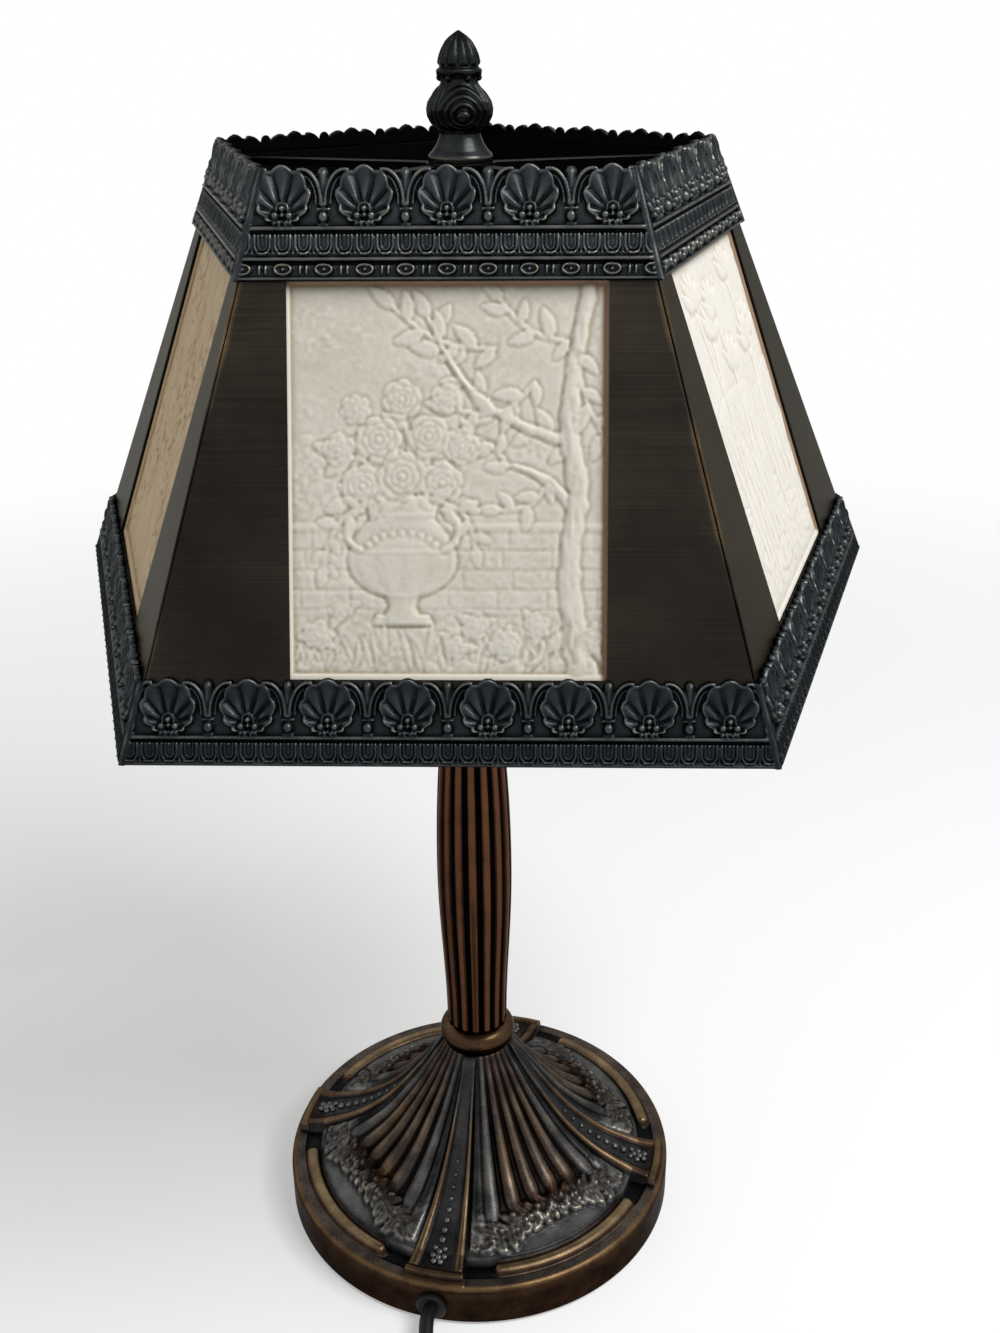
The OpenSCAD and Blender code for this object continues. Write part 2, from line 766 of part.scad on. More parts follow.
module corner_angles() {
    foot = angle_foot;
    head = panel_top + spider_t;
    color("#3a3027") intersection() {
        union() {
            for (i = [0:sides - 1]) for (hand = [-1, 1]) on_side(i) translate([0, 0, -sheet_t - strip_t])
                linear_extrude(strip_t) polygon([
                    [hand * side_half(foot, -sheet_t), foot], [hand * side_half(head, -sheet_t), head],
                    [hand * (side_half(head, -sheet_t) - angle_w), head],
                    [hand * (side_half(foot, -sheet_t) - angle_w), foot]
                ]);
        }
        cylinder(h = hub_z, r = far);
    }
}

module plaque_clips() {
    back = plaque_w_out - plaque_t - slip;
    edge = plaque_w / 2 + slip;
    foot = edge + strip_t + clip_reach;
    color("#6b5a3a") for (i = [0:sides - 1]) for (row = clip_rows) for (hand = [0, 1]) on_side(i)
        translate([0, plaque_v + plaque_h * row + clip_w / 2, 0]) mirror([hand, 0, 0]) rotate([90, 0, 0])
            linear_extrude(clip_w) polygon([
                [edge, -sheet_t - strip_t], [edge, back], [edge - clip_reach, back],
                [edge - clip_reach, back - strip_t], [edge + strip_t, back - strip_t],
                [edge + strip_t, -sheet_t - strip_t], [foot, -sheet_t - strip_t],
                [foot, -sheet_t], [edge, -sheet_t]
            ]);
}

module spider() {
    color("#332b24") translate([0, 0, hub_z]) linear_extrude(spider_t) difference() {
        union() {
            circle(hub_r);
            for (i = [0:sides - 1]) rotate(side_angle * i - 90 + half_angle)
                translate([hub_r / 2, -spider_arm_w / 2]) square([spider_reach - hub_r / 2, spider_arm_w]);
        }
        circle(stud_r + slip);
    }
}

// Cast bands, drawn flat with their lower edge on y = 0

function shell_places(n) = [for (k = [0:n - 1]) (k - (n - 1) / 2) * shell_pitch];
function bud_places(n) = [for (k = [1:n - 1]) (k - n / 2) * shell_pitch];

// A scallop shell: ribs fan out from its hinge to a lobed rim, and its dish is hollow
module shell() {
    steps = 2 * shell_ribs;
    side_r = shell_w / 2;
    outline = [
        for (k = [0:steps]) let (
            a = shell_fan * (2 * k / steps - 1),
            lobe = (k % 2 == 1 ? 1 : -1) * shell_lobe / 2,
            r = side_r * shell_top_r / norm([side_r * cos(a), shell_top_r * sin(a)]) + lobe
        ) [r * sin(a), shell_hinge + r * cos(a)]
    ];
    flat = concat([[0, shell_hinge]], outline);
    n = len(flat);
    rim = [for (k = [0:n - 1]) band_t + (k == 0 ? shell_floor : shell_rise + (k % 2 == 0 ? 0 : -shell_lobe))];
    points = concat(
        [for (k = [0:n - 1]) [flat[k][0], flat[k][1], rim[k]]],
        [for (p = flat) [p[0], p[1], band_t / 2]]
    );
    top = [for (k = [1:n - 2]) [0, k, k + 1]];
    under = [for (k = [1:n - 2]) [n, n + k + 1, n + k]];
    walls = [for (k = [0:n - 1]) let (next = (k + 1) % n) each [[k, n + k, next], [next, n + k, n + next]]];
    polyhedron(points = points, faces = concat(top, under, walls), convexity = 8);
}

module bud() {
    translate([0, bud_foot, band_t]) rotate([-90, 0, 0])
        cylinder(h = bud_top - bud_foot, r1 = bud_r / 3, r2 = bud_r);
    translate([0, bud_top, band_t]) sphere(bud_r);
    translate([0, knob_r + line_r, band_t]) sphere(knob_r);
}

// A band's plate, drawn through the sheet's face, where the whole band is cut flat
module plate() translate([0, 0, -overcut]) linear_extrude(band_t + overcut) children();

// The row of shells on its scalloped plate
module shell_row(n, half_w) {
    plate() {
        translate([-half_w, 0]) square([2 * half_w, shell_h / 2]);
        for (u = shell_places(n)) translate([u, shell_h / 2]) circle(shell_w / 2 - shell_lobe);
        for (u = bud_places(n)) translate([u - bud_r, 0]) square([2 * bud_r, bud_top]);
    }
    for (u = shell_places(n)) translate([u, 0, 0]) shell();
    for (u = bud_places(n)) translate([u, 0, 0]) bud();
}

// The row of tongues, one drawn outline pushed up the slant
module tongue_row(half_w) {
    count = floor(half_w / tongue_pitch);
    translate([0, tongue_h, 0]) rotate([90, 0, 0]) linear_extrude(tongue_h) {
        translate([-half_w, -overcut]) square([2 * half_w, band_t + overcut]);
        for (k = [-count:count]) translate([k * tongue_pitch, band_t - tongue_r / 2]) circle(tongue_r);
    }
}

// The bead and reel row, turned about its own line
module bead_row(half_w) {
    count = floor(half_w / bead_pitch);
    plate() translate([-half_w, 0]) square([2 * half_w, bead_h]);
    translate([0, bead_h / 2, band_t - bead_r / 3]) rotate([0, 90, 0]) rotate_extrude() intersection() {
        union() {
            translate([0, -half_w]) square([reel_r / 2, 2 * half_w]);
            for (k = [-count:count]) {
                for (s = [-0.3, 0.3]) translate([0, k * bead_pitch + s * bead_r]) circle(bead_r);
                for (s = [-1, 1]) translate([0, (k + 0.5) * bead_pitch + s * reel_t - reel_t / 2])
                    square([reel_r, reel_t]);
            }
        }
        translate([0, -half_w]) square([bead_h, 2 * half_w]);
    }
}

// A thin round line along a band
module line_at(v, half_w) translate([-half_w, v, band_t]) rotate([0, 90, 0])
    cylinder(h = 2 * half_w, r = line_r, $fn = 8);

// Keeps what lies outside the sheet's face, inside the wedge of side number i
module band_on_side(i) {
    intersection() {
        on_side(i) children();
        on_side(i) translate([-far, -far, 0]) cube([2 * far, 2 * far, far / 10]);
        mitre(i);
    }
}

module skirt_band(i) {
    half_w = side_half(0, band_t) + overcut;
    color("#23282c") band_on_side(i) {
        tongue_row(half_w);
        translate([0, tongue_h, 0]) shell_row(skirt_shells, half_w);
        line_at(tongue_h, half_w);
        line_at(line_r, half_w);
    }
}

module crown_band(i) {
    half_w = side_half(crown_v, band_t) + overcut;
    color("#23282c") band_on_side(i) translate([0, crown_v, 0]) {
        bead_row(half_w);
        translate([0, bead_h, 0]) tongue_row(half_w);
        translate([0, bead_h + tongue_h, 0]) shell_row(crown_shells, half_w);
        line_at(bead_h, half_w);
        line_at(bead_h + tongue_h, half_w);
    }
}

// Finial

// Radii between stations, eased from one to the next
function eased(stations, steps) = [
    for (k = [0:len(stations) - 2]) for (s = [0:steps - 1])
        let (a = stations[k], b = stations[k + 1], t = s / steps)
        [a[1] + (b[1] - a[1]) * ease(t), (a[0] + (b[0] - a[0]) * t) * finial_h]
];

module finial() {
    bulge_z = finial_stations[3][0] * finial_h;
    bud_z = finial_stations[6][0] * finial_h;
    bud_end_z = finial_stations[8][0] * finial_h;
    color("#2c2b28") translate([0, 0, finial_z]) difference() {
        union() {
            rotate_extrude() polygon(concat([[0, 0]], eased(finial_stations, finial_steps), [[0, finial_h]]));
            for (k = [0:gadroons - 1]) rotate([0, 0, 360 * k / gadroons])
                translate([finial_bulge_r - gadroon_r + 0.6, 0, bulge_z]) sphere(gadroon_r);
            for (k = [0:bud_ribs - 1]) rotate([0, 0, 360 * k / bud_ribs])
                translate([finial_bud_r - 0.6, 0, bud_z]) rotate([0, -bud_rib_lean, 0])
                    cylinder(h = bud_end_z - bud_z, r1 = bud_rib_r, r2 = bud_rib_r / 2);
        }
        translate([0, 0, -overcut]) cylinder(h = finial_bore_h + overcut, r = stud_r + slip);
    }
}

// Cord

// Places a child on the cord's exit through the rim, pointing outwards from the axis
module at_grommet(below = 0) {
    rotate([0, 0, first_strap]) translate([0, 0, cord_z - below]) rotate([0, 90, 0]) children();
}

module cord_grommet() {
    inner_r = cord_r + slip;
    seat_out = base_r + slip;
    color("#131313") at_grommet() rotate_extrude() polygon([
        [inner_r, grommet_in_r - flange_t], [grommet_lip_r, grommet_in_r - flange_t],
        [grommet_lip_r, grommet_in_r], [grommet_shank_r, grommet_in_r], [grommet_shank_r, seat_out],
        [grommet_r, seat_out], [grommet_r, grommet_out_r - 0.8],
        [grommet_r - 0.8, grommet_out_r], [inner_r, grommet_out_r]
    ]);
}

module inner_cord() {
    color("#131313") {
        at_grommet() translate([0, 0, inner_bend_r]) cylinder(h = grommet_out_r - inner_bend_r, r = cord_r);
        rotate([0, 0, first_strap]) translate([inner_bend_r, 0, cord_z + inner_bend_r]) rotate([90, 180, 0])
            rotate_extrude(angle = 90) translate([inner_bend_r, 0]) circle(cord_r);
        translate([0, 0, cord_z + inner_bend_r])
            cylinder(h = pipe_top + 2 - cord_z - inner_bend_r, r = cord_r);
    }
}

// Centre line of the coil: in along the table, up one layer at the middle, and out again
function coil_point(k) = let (
    turn = k / coil_rings,
    half = coil_turns / 2,
    r = coil_r - coil_pitch * min(turn, coil_turns - turn),
    climb = ease(max(0, min(1, 2 * (turn - half) + 0.5))),
    a = coil_start + 360 * turn
) coil_centre + [r * cos(a), r * sin(a), coil_z + coil_pitch * climb];

coil_line = concat(
    [coil_low - coil_heading * coil_end_run],
    [for (k = [0:coil_turns * coil_rings]) coil_point(k)],
    [coil_high + coil_heading * coil_end_run]
);
coil_near = 12;
coil_gap = min([
    for (a = [0:len(coil_line) - 1]) for (b = [a + coil_near:1:len(coil_line) - 1])
        norm(coil_line[a] - coil_line[b])
]) - cord_d;
echo(least_gap_between_the_coil_turns = coil_gap);

module cord_coil() {
    color("#131313") tube(coil_line, cord_r, 6);
}

// The tie goes round both layers of turns, away from the coil's ends
module cord_tie() {
    coil_in_r = coil_r - coil_turns / 2 * coil_pitch;
    hole = [coil_r - coil_in_r + cord_d + 2 * slip, coil_pitch + cord_d + 2 * slip];
    color("#1a1a1a") translate(coil_centre) rotate([0, 0, coil_start + 200])
        translate([(coil_r + coil_in_r) / 2, tie_w / 2, tie_t + hole[1] / 2]) rotate([90, 0, 0])
        linear_extrude(tie_w) difference() {
            round_box(hole + [2 * tie_t, 2 * tie_t], cord_r + tie_t);
            round_box(hole, cord_r);
        }
}

// A rectangle with round corners about its middle
module round_box(size, r) {
    square([size[0] - 2 * r, size[1]], center = true);
    square([size[0], size[1] - 2 * r], center = true);
    for (x = [-1, 1]) for (y = [-1, 1]) translate([x * (size[0] / 2 - r), y * (size[1] / 2 - r)]) circle(r);
}

module cord_lead() {
    color("#131313") tube(lead_route, cord_r, 8);
}

module cord_tail() {
    color("#131313") tube(tail_route, cord_r, 8);
}

// Places a child on the plug's axis, pointing away from the cord
module at_plug() {
    translate(plug_at) rotate([0, 0, coil_start + 90]) rotate([0, 90, 0]) children();
}

module cord_plug() {
    color("#171717") at_plug() {
        cylinder(h = plug_neck_l, r1 = plug_neck_out_r, r2 = plug_neck_r);
        translate([-plug_h / 2, -plug_w / 2, plug_neck_l]) cube([plug_h, plug_w, plug_l]);
    }
}

module plug_blades() {
    color("#b9a468") at_plug() for (side = [-1, 1])
        translate([-blade_w / 2, side * blade_gap / 2 - blade_t / 2, plug_neck_l + plug_l])
            cube([blade_w, blade_t, blade_l]);
}

base_casting();
base_felt();
cord_grommet();
base_washer();
base_nut();
centre_pipe();
column_ring();
column();
column_cap();
neck_sleeve();
cluster_body();
cluster_cover();
riser_rod();
seat_nut();
socket_cap(-1);  // socket_cap_left
socket_shell(-1);  // socket_shell_left
socket_core(-1);  // socket_core_left
bulb_base(-1);  // bulb_base_left
bulb_glass(-1);  // bulb_glass_left
switch_key(-1);  // switch_key_left
socket_cap(1);  // socket_cap_right
socket_shell(1);  // socket_shell_right
socket_core(1);  // socket_core_right
bulb_base(1);  // bulb_base_right
bulb_glass(1);  // bulb_glass_right
switch_key(1);  // switch_key_right
inner_cord();
cord_lead();
cord_coil();
cord_tie();
cord_tail();
cord_plug();
plug_blades();
panel(0);  // panel_front
panel(1);  // panel_right
panel(2);  // panel_back_right
panel(3);  // panel_back_left
panel(4);  // panel_left
plaque(0);  // plaque_front
plaque(1);  // plaque_right
plaque(2);  // plaque_back_right
plaque(3);  // plaque_back_left
plaque(4);  // plaque_left
crown_band(0);  // crown_front
crown_band(1);  // crown_right
crown_band(2);  // crown_back_right
crown_band(3);  // crown_back_left
crown_band(4);  // crown_left
skirt_band(0);  // skirt_front
skirt_band(1);  // skirt_right
skirt_band(2);  // skirt_back_right
skirt_band(3);  // skirt_back_left
skirt_band(4);  // skirt_left
corner_angles();
plaque_clips();
spider();
finial();
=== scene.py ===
"""Visible surfaces of a lithophane table lamp: cast foot, fluted column, five-sided shade, plaques and cord."""
import math

import bpy
import numpy as np
from mathutils import Matrix, Vector


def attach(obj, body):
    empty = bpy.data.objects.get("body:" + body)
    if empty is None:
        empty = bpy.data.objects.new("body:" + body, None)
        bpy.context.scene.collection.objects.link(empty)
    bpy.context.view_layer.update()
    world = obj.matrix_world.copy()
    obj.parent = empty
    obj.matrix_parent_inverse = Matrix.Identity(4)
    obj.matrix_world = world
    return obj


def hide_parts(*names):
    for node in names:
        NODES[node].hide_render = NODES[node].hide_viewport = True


bl_info = {
    "name": "Lithophane table lamp",
    "version": (1, 0, 0),
    "blender": (4, 5, 0),
    "location": "View3D > Sidebar > Lamp",
    "description": "Builds the visible surfaces of a table lamp with a five-sided lithophane shade",
    "category": "Object",
}

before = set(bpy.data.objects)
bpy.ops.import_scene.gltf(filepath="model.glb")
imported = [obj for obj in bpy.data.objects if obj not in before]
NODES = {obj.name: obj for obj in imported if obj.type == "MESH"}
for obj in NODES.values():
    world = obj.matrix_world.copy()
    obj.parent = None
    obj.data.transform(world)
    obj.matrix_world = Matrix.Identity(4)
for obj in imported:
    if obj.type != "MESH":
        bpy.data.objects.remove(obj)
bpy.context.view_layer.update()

MM = 0.001
SIDES = ("front", "right", "back_right", "back_left", "left")
SIDE_ANGLE = 72.0
HALF_ANGLE = math.radians(36)
HALF_TAN = math.tan(HALF_ANGLE)

# Shade: every side is drawn flat, u across, v up its slant and w outwards, all in millimetres
SKIRT_R, CROWN_R = 170, 92.4
SKIRT_APOTHEM = SKIRT_R * math.cos(HALF_ANGLE)
CROWN_V, SLANT = 145.6, 179.3
LEAN = math.asin((SKIRT_APOTHEM - CROWN_R * math.cos(HALF_ANGLE)) / SLANT)
SPIDER_Z, SPIDER_DEPTH = 459, 9
SHADE_Z = SPIDER_Z - (SLANT * math.cos(LEAN) - SPIDER_DEPTH)

# Cast bands: heights of their rows and repeats along them
CROWN_H, SKIRT_H = 33.7, 27.4
ROW_TONGUE, ROW_BEAD, ROW_SHELL = 8.9, 6.3, 18.5
SHELL_PITCH, TONGUE_PITCH, BEAD_PITCH = 24.4, 6.1, 12.2
BAND_PLATE, BAND_BACK = 0.85, 0.02

WINDOW_W, WINDOW_FOOT, WINDOW_HEAD = 96.6, 26.5, 146.5
PLAQUE_W, PLAQUE_FOOT, PLAQUE_HEAD = 101.6, 23.0, 150.0
PLAQUE_FRONT, PLAQUE_BACK = -1.1, -4.1

# Foot: a bell, a channel with a roll in it, and a ledge rounded over to the rim
FIRST_STRAP, STRAP_HALF = -101.0, 8.5
FOOT_Z = 1.5
NECK_R, BELL_R, ROLL_R, ROUND_R, RIM_R = 15.0, 75.0, 79, 86, 89.0
BELL_FOOT, BELL_RISE = 21.5, 59
CHANNEL_Z, LEDGE_Z, ROUND_Z, ROUND = FOOT_Z + 17.8, FOOT_Z + 19, FOOT_Z + 16, 3
NECK_Z, HOLLOW_Z, HOLLOW_R, PIPE_R = 82, 66, 85, 5.1

COLUMN = {
    "Foot height": 93.0, "Height": 169.0, "Foot radius": 13.4, "Belly radius": 16.1, "Belly height": 79.0,
    "Top radius": 10.5, "Bore radius": PIPE_R,
}
FINIAL_Z, FINIAL_H, STUD_R, STUD_DEPTH = 461.5, 41.5, 3.1, 16

# Cord: a flat coil in two layers on the table, with the same points as the solids that the cord stands for
CORD_EXIT_R, CORD_EXIT_Z, CORD_STEP = 91.3, 10, 6.2
COIL_TURNS, COIL_STEPS, COIL_R, COIL_PITCH = 7, 24, 49.7, 7.1
COIL_X, COIL_Y, COIL_Z, COIL_START = -6, -176, 4.2, math.radians(150)


def colour(code):
    """The linear RGBA of an sRGB hex colour."""
    parts = [int(code[k:k + 2], 16) / 255 for k in (1, 3, 5)]
    return tuple(c / 12.92 if c <= 0.04045 else ((c + 0.055) / 1.055) ** 2.4 for c in parts) + (1.0,)


def fill(tree, node, inputs):
    """Gives a node's inputs their values or links."""
    for key, value in inputs.items():
        if isinstance(value, bpy.types.NodeSocket):
            tree.links.new(value, node.inputs[key])
        else:
            node.inputs[key].default_value = value


def add_node(tree, kind, inputs=None, **settings):
    """Adds a node, sets its properties and fills its inputs with values or links."""
    made = tree.nodes.new(kind)
    for key, value in settings.items():
        setattr(made, key, value)
    fill(tree, made, inputs or {})
    return made


def calc(tree, operation, *values, clamp=False):
    """The result of a math node."""
    made = add_node(tree, "ShaderNodeMath", dict(enumerate(values)), operation=operation, use_clamp=clamp)
    return made.outputs[0]


def span(tree, value, low, high, first=0.0, last=1.0, **settings):
    """A value that runs from first to last, carried over to low and high."""
    ends = {"From Min": first, "From Max": last, "To Min": low, "To Max": high}
    return add_node(tree, "ShaderNodeMapRange", {"Value": value, **ends}, **settings).outputs["Result"]


# Numbers on grids

def smooth(low, high, x):
    """Eases from 0 at low to 1 at high, or the other way round where low is the larger."""
    t = np.clip((x - low) / (high - low), 0, 1)
    return t * t * (3 - 2 * t)


def ridge(d, r, h):
    """A round ridge of half width r and height h, at distance d from its line."""
    return h * np.sqrt(np.clip(1 - (d / r) ** 2, 0, 1))


def ball(x, y, r, h):
    """A round boss of radius r and height h, its middle at x and y of 0."""
    return ridge(np.hypot(x, y), r, h)


def highest(*fields):
    """The highest of several fields at every place."""
    out = fields[0]
    for field in fields[1:]:
        out = np.maximum(out, field)
    return out


def wrapped(x, pitch):
    """Distance from the nearest repeat, with its sign."""
    return x - pitch * np.round(x / pitch)


def blurred(field, passes, around=False):
    """The field with every value eased towards its neighbours; around joins the last column to the first."""
    for _ in range(passes):
        for axis in (0, 1):
            edges = [(int(k == axis), int(k == axis)) for k in (0, 1)]
            wide = np.pad(field, edges, mode="wrap" if axis and around else "edge")
            count = field.shape[axis]
            field = (np.take(wide, range(count), axis) + 2 * field + np.take(wide, range(2, count + 2), axis)) / 4
    return field


def rubbed(height, passes, gain, around=False):
    """How much a raised place has been rubbed: 0 in hollows, 0.5 on plain ground, 1 on edges that stand out."""
    return np.clip(0.5 + gain * (height - blurred(height, passes, around)), 0, 1)


def value_noise(u, v, cell, seed):
    """Smooth noise between -1 and 1 with features of about cell."""
    table = np.random.default_rng(seed).uniform(-1, 1, (64, 64))
    x, y = u / cell, v / cell
    i, j = np.floor(x).astype(int), np.floor(y).astype(int)
    fx, fy = x - i, y - j
    fx, fy = fx * fx * (3 - 2 * fx), fy * fy * (3 - 2 * fy)
    a, b = table[i % 64, j % 64], table[(i + 1) % 64, j % 64]
    c, d = table[i % 64, (j + 1) % 64], table[(i + 1) % 64, (j + 1) % 64]
    return (a * (1 - fx) + b * fx) * (1 - fy) + (c * (1 - fx) + d * fx) * fy


# Places and meshes

def on_side(index, u, v, w):
    """Points of side number index, in metres."""
    y = -SKIRT_APOTHEM + v * math.sin(LEAN) - w * math.cos(LEAN)
    z = SHADE_Z + v * math.cos(LEAN) + w * math.sin(LEAN)
    a = math.radians(SIDE_ANGLE * index)
    return np.stack([u * math.cos(a) - y * math.sin(a), u * math.sin(a) + y * math.cos(a), z], axis=-1) * MM


def side_half(v, w=0.0):
    """Half the width of a side, at a height up its slant and outwards of its sheet."""
    return (SKIRT_APOTHEM - v * math.sin(LEAN) + w * math.cos(LEAN)) * HALF_TAN


def put(name, data):
    """A new object in the scene."""
    made = bpy.data.objects.new(name, data)
    bpy.context.scene.collection.objects.link(made)
    return made


def new_piece(name, points, faces, material, body, replaces=(), marks=None, flat=0):
    """A finished piece: its mesh in place, its rubbed, browned, painted-highlight and painted-shade places as
    attributes, riding on its body.
    """
    mesh = bpy.data.meshes.new(name)
    mesh.from_pydata([tuple(p) for p in np.asarray(points).tolist()], [], faces)
    mesh.update()
    for title, values in (marks or {}).items():
        mesh.attributes.new(title, "FLOAT", "POINT").data.foreach_set("value", np.asarray(values, dtype=np.float32))
    mesh.shade_smooth()
    if flat:
        # The last faces are a flat back and straight edges
        mesh.polygons.foreach_set("use_smooth", np.arange(len(faces)) < len(faces) - flat)
    mesh.materials.append(material)
    settle(put(name, mesh), body, replaces)


def settle(piece, body, replaces=()):
    """Says which body carries a piece and hides the nodes that it stands for."""
    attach(piece, body)
    if replaces:
        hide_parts(*replaces)


def wrapped_faces(rows, columns):
    """Quads of a grid whose columns run round, rows going down the outside."""
    i, j = np.meshgrid(np.arange(rows - 1), np.arange(columns), indexing="ij")
    k = (j + 1) % columns
    quads = np.stack([i * columns + j, (i + 1) * columns + j, (i + 1) * columns + k, i * columns + k], axis=-1)
    return quads.reshape(-1, 4).tolist()


def dress(names, material):
    """Gives CAD nodes a finish."""
    for name in names:
        slots = NODES[name].data.materials
        slots.clear()
        slots.append(material)


def grow(piece, tree, values):
    """Runs a node tree on a piece, with values for its named inputs, and keeps the result as its plain mesh."""
    modifier = piece.modifiers.new(tree.name, "NODES")
    modifier.node_group = tree
    for item in tree.interface.items_tree:
        if item.in_out == "INPUT" and item.name in values:
            modifier[item.identifier] = values[item.name]
    mesh = bpy.data.meshes.new_from_object(piece.evaluated_get(bpy.context.evaluated_depsgraph_get()))
    piece.modifiers.remove(modifier)
    old, piece.data = piece.data, mesh
    bpy.data.meshes.remove(old)
    mesh.name = piece.name


# Finishes

def new_finish(name):
    """A new material, its tree and the place on the object."""
    material = bpy.data.materials.new(name)
    material.use_nodes = True
    tree = material.node_tree
    return material, tree, add_node(tree, "ShaderNodeTexCoord").outputs["Object"]


def noise(tree, at, scale, detail, **more):
    inputs = {"Vector": at, "Scale": scale, "Detail": detail, **more}
    return add_node(tree, "ShaderNodeTexNoise", inputs).outputs["Fac"]


def mapped(tree, at, **inputs):
    """A place turned or stretched."""
    return add_node(tree, "ShaderNodeMapping", {"Vector": at, **inputs}, vector_type="POINT").outputs["Vector"]


def mark(tree, name):
    """One of the piece's own attributes, such as how much each place is rubbed."""
    return add_node(tree, "ShaderNodeAttribute", attribute_name=name).outputs["Fac"]


def tones(tree, value, *pairs):
    """A run of colours over a value, from pairs of a position and a hex code or a linear colour."""
    ramp = add_node(tree, "ShaderNodeValToRGB", {"Fac": value})
    points = ramp.color_ramp.elements
    while len(points) < len(pairs):
        points.new(0.5)
    for point, (position, code) in zip(points, pairs):
        point.position = position
        point.color = colour(code) if isinstance(code, str) else code
    return ramp.outputs["Color"]


def mixed(tree, share, first, second):
    return add_node(tree, "ShaderNodeMix", {"Factor": share, 6: first, 7: second}, data_type="RGBA").outputs[2]


def surface(tree, inputs, bump=None):
    """Fills the shader, with a bump from a height, a strength and a depth in millimetres."""
    if bump:
        height, strength, depth_mm = bump
        node = add_node(tree, "ShaderNodeBump", {"Height": height, "Strength": strength, "Distance": depth_mm * MM})
        inputs["Normal"] = node.outputs["Normal"]
    fill(tree, tree.nodes["Principled BSDF"], inputs)


def cast_patina(name, pairs, rough, patch_mm, grain_mm, depth_mm, base=None, brown=None):
    """Cast metal under a patina: dark in its hollows, rubbed lighter on what stands out, grainy from its mould; the
    piece's attribute can also carry painted highlights and painted shade.
    """
    material, tree, place = new_finish(name)
    patch = noise(tree, place, 1000 / patch_mm, 3.0)
    grain = noise(tree, place, 1000 / grain_mm, 2.0)
    cloudy = calc(tree, "MULTIPLY_ADD", patch, 0.34, -0.17)
    mottle = calc(tree, "ADD", cloudy, calc(tree, "MULTIPLY_ADD", grain, 0.2, -0.1))
    amount = calc(tree, "ADD", mottle, mark(tree, "wear_and_shading") if base is None else base, clamp=True)
    tone = tones(tree, amount, *pairs)
    if brown:
        # Where the patina has gone brown, its own run of colours takes over
        tone = mixed(tree, mark(tree, "warm"), tone, tones(tree, amount, *brown))
    # An oxide skin shines less than bare metal when it is seen edge on
    surface(tree, {"Base Color": tone, "Roughness": span(tree, amount, *rough, 0.2, 0.95), "Metallic": 1.0,
                   "Specular Tint": (0.5, 0.5, 0.5, 1.0)}, (grain, 0.6, depth_mm))
    return material


def sheet_patina(index):
    """Rolled sheet metal browned nearly black and brushed across: fine level lines, corners rubbed to brass."""
    material, tree, place = new_finish(f"browned_brushed_sheet_{SIDES[index]}")
    flat = mapped(tree, place, Rotation=(0.0, 0.0, -math.radians(SIDE_ANGLE * index)))
    across = add_node(tree, "ShaderNodeSeparateXYZ", {"Vector": flat}).outputs
    # Brush lines 0.5 mm apart and some 60 mm long
    lines = noise(tree, mapped(tree, flat, Scale=(16.0, 16.0, 2000.0)), 1.0, 3.0)
    cloud = noise(tree, place, 17.0, 4.0, Roughness=0.6)
    # Distance from the corner: half the side's width at this height, less the distance from its middle
    half = calc(tree, "MULTIPLY_ADD", across["Z"], -math.tan(LEAN) * HALF_TAN,
                (SKIRT_APOTHEM + SHADE_Z * math.tan(LEAN)) * HALF_TAN * MM)
    inset = calc(tree, "SUBTRACT", half, calc(tree, "ABSOLUTE", across["X"]))
    reach = calc(tree, "SUBTRACT", inset, calc(tree, "MULTIPLY_ADD", cloud, 0.009, -0.0052))
    streak = calc(tree, "MULTIPLY_ADD", lines, 0.26, 0.1)
    mottle = calc(tree, "ADD", streak, calc(tree, "MULTIPLY_ADD", cloud, 0.62, -0.3))
    amount = calc(tree, "ADD", mottle, span(tree, reach, 0.62, 0.0, 0.0, 0.002), clamp=True)
    browns = tones(tree, amount, (0.05, "#161411"), (0.25, "#27231e"), (0.5, "#3d372f"), (0.8, "#5c4b35"),
                   (1.0, "#86704c"))
    # The inner face, a millimetre behind the outer one, is painted near black as painted shade inside the lampshade
    fore = calc(tree, "MULTIPLY_ADD", across["Y"], -math.cos(LEAN), 0.0005 - math.cos(LEAN) * SKIRT_APOTHEM * MM)
    depth = calc(tree, "MULTIPLY_ADD", across["Z"], math.sin(LEAN), fore)
    inner = calc(tree, "LESS_THAN", depth, math.sin(LEAN) * SHADE_Z * MM)
    surface(tree, {
        "Base Color": mixed(tree, inner, browns, colour("#08070c")), "Roughness": span(tree, inner, 0.4, 0.75),
        "Metallic": 0.85, "Specular Tint": (0.45, 0.44, 0.4, 1.0)}, (lines, 0.35, 0.04))
    return material


def porcelain(name, low, high):
    """Unglazed white porcelain: matt, faintly uneven, a little light passes into it."""
    material, tree, place = new_finish(name)
    shift = calc(tree, "MULTIPLY_ADD", noise(tree, place, 60.0, 3.0), 0.3, -0.15)
    # The piece's attribute paints shade into the relief's hollows and a highlight onto what stands out
    amount = calc(tree, "ADD", shift, mark(tree, "wear_and_shading"), clamp=True)
    # A painted shadow of the window's edge, in warm brown, lies on the porcelain along its top and right sides
    tone = mixed(tree, mark(tree, "window_shadow"), tones(tree, amount, (0.15, low), (0.65, high)), colour("#8f6b47"))
    surface(tree, {"Base Color": tone, "Roughness": 0.62, "Subsurface Weight": 0.12, "Subsurface Scale": 1.0,
                   "Subsurface Radius": (0.0012, 0.0011, 0.0009)}, (noise(tree, place, 1200.0, 2.0), 0.3, 0.05))
    return material


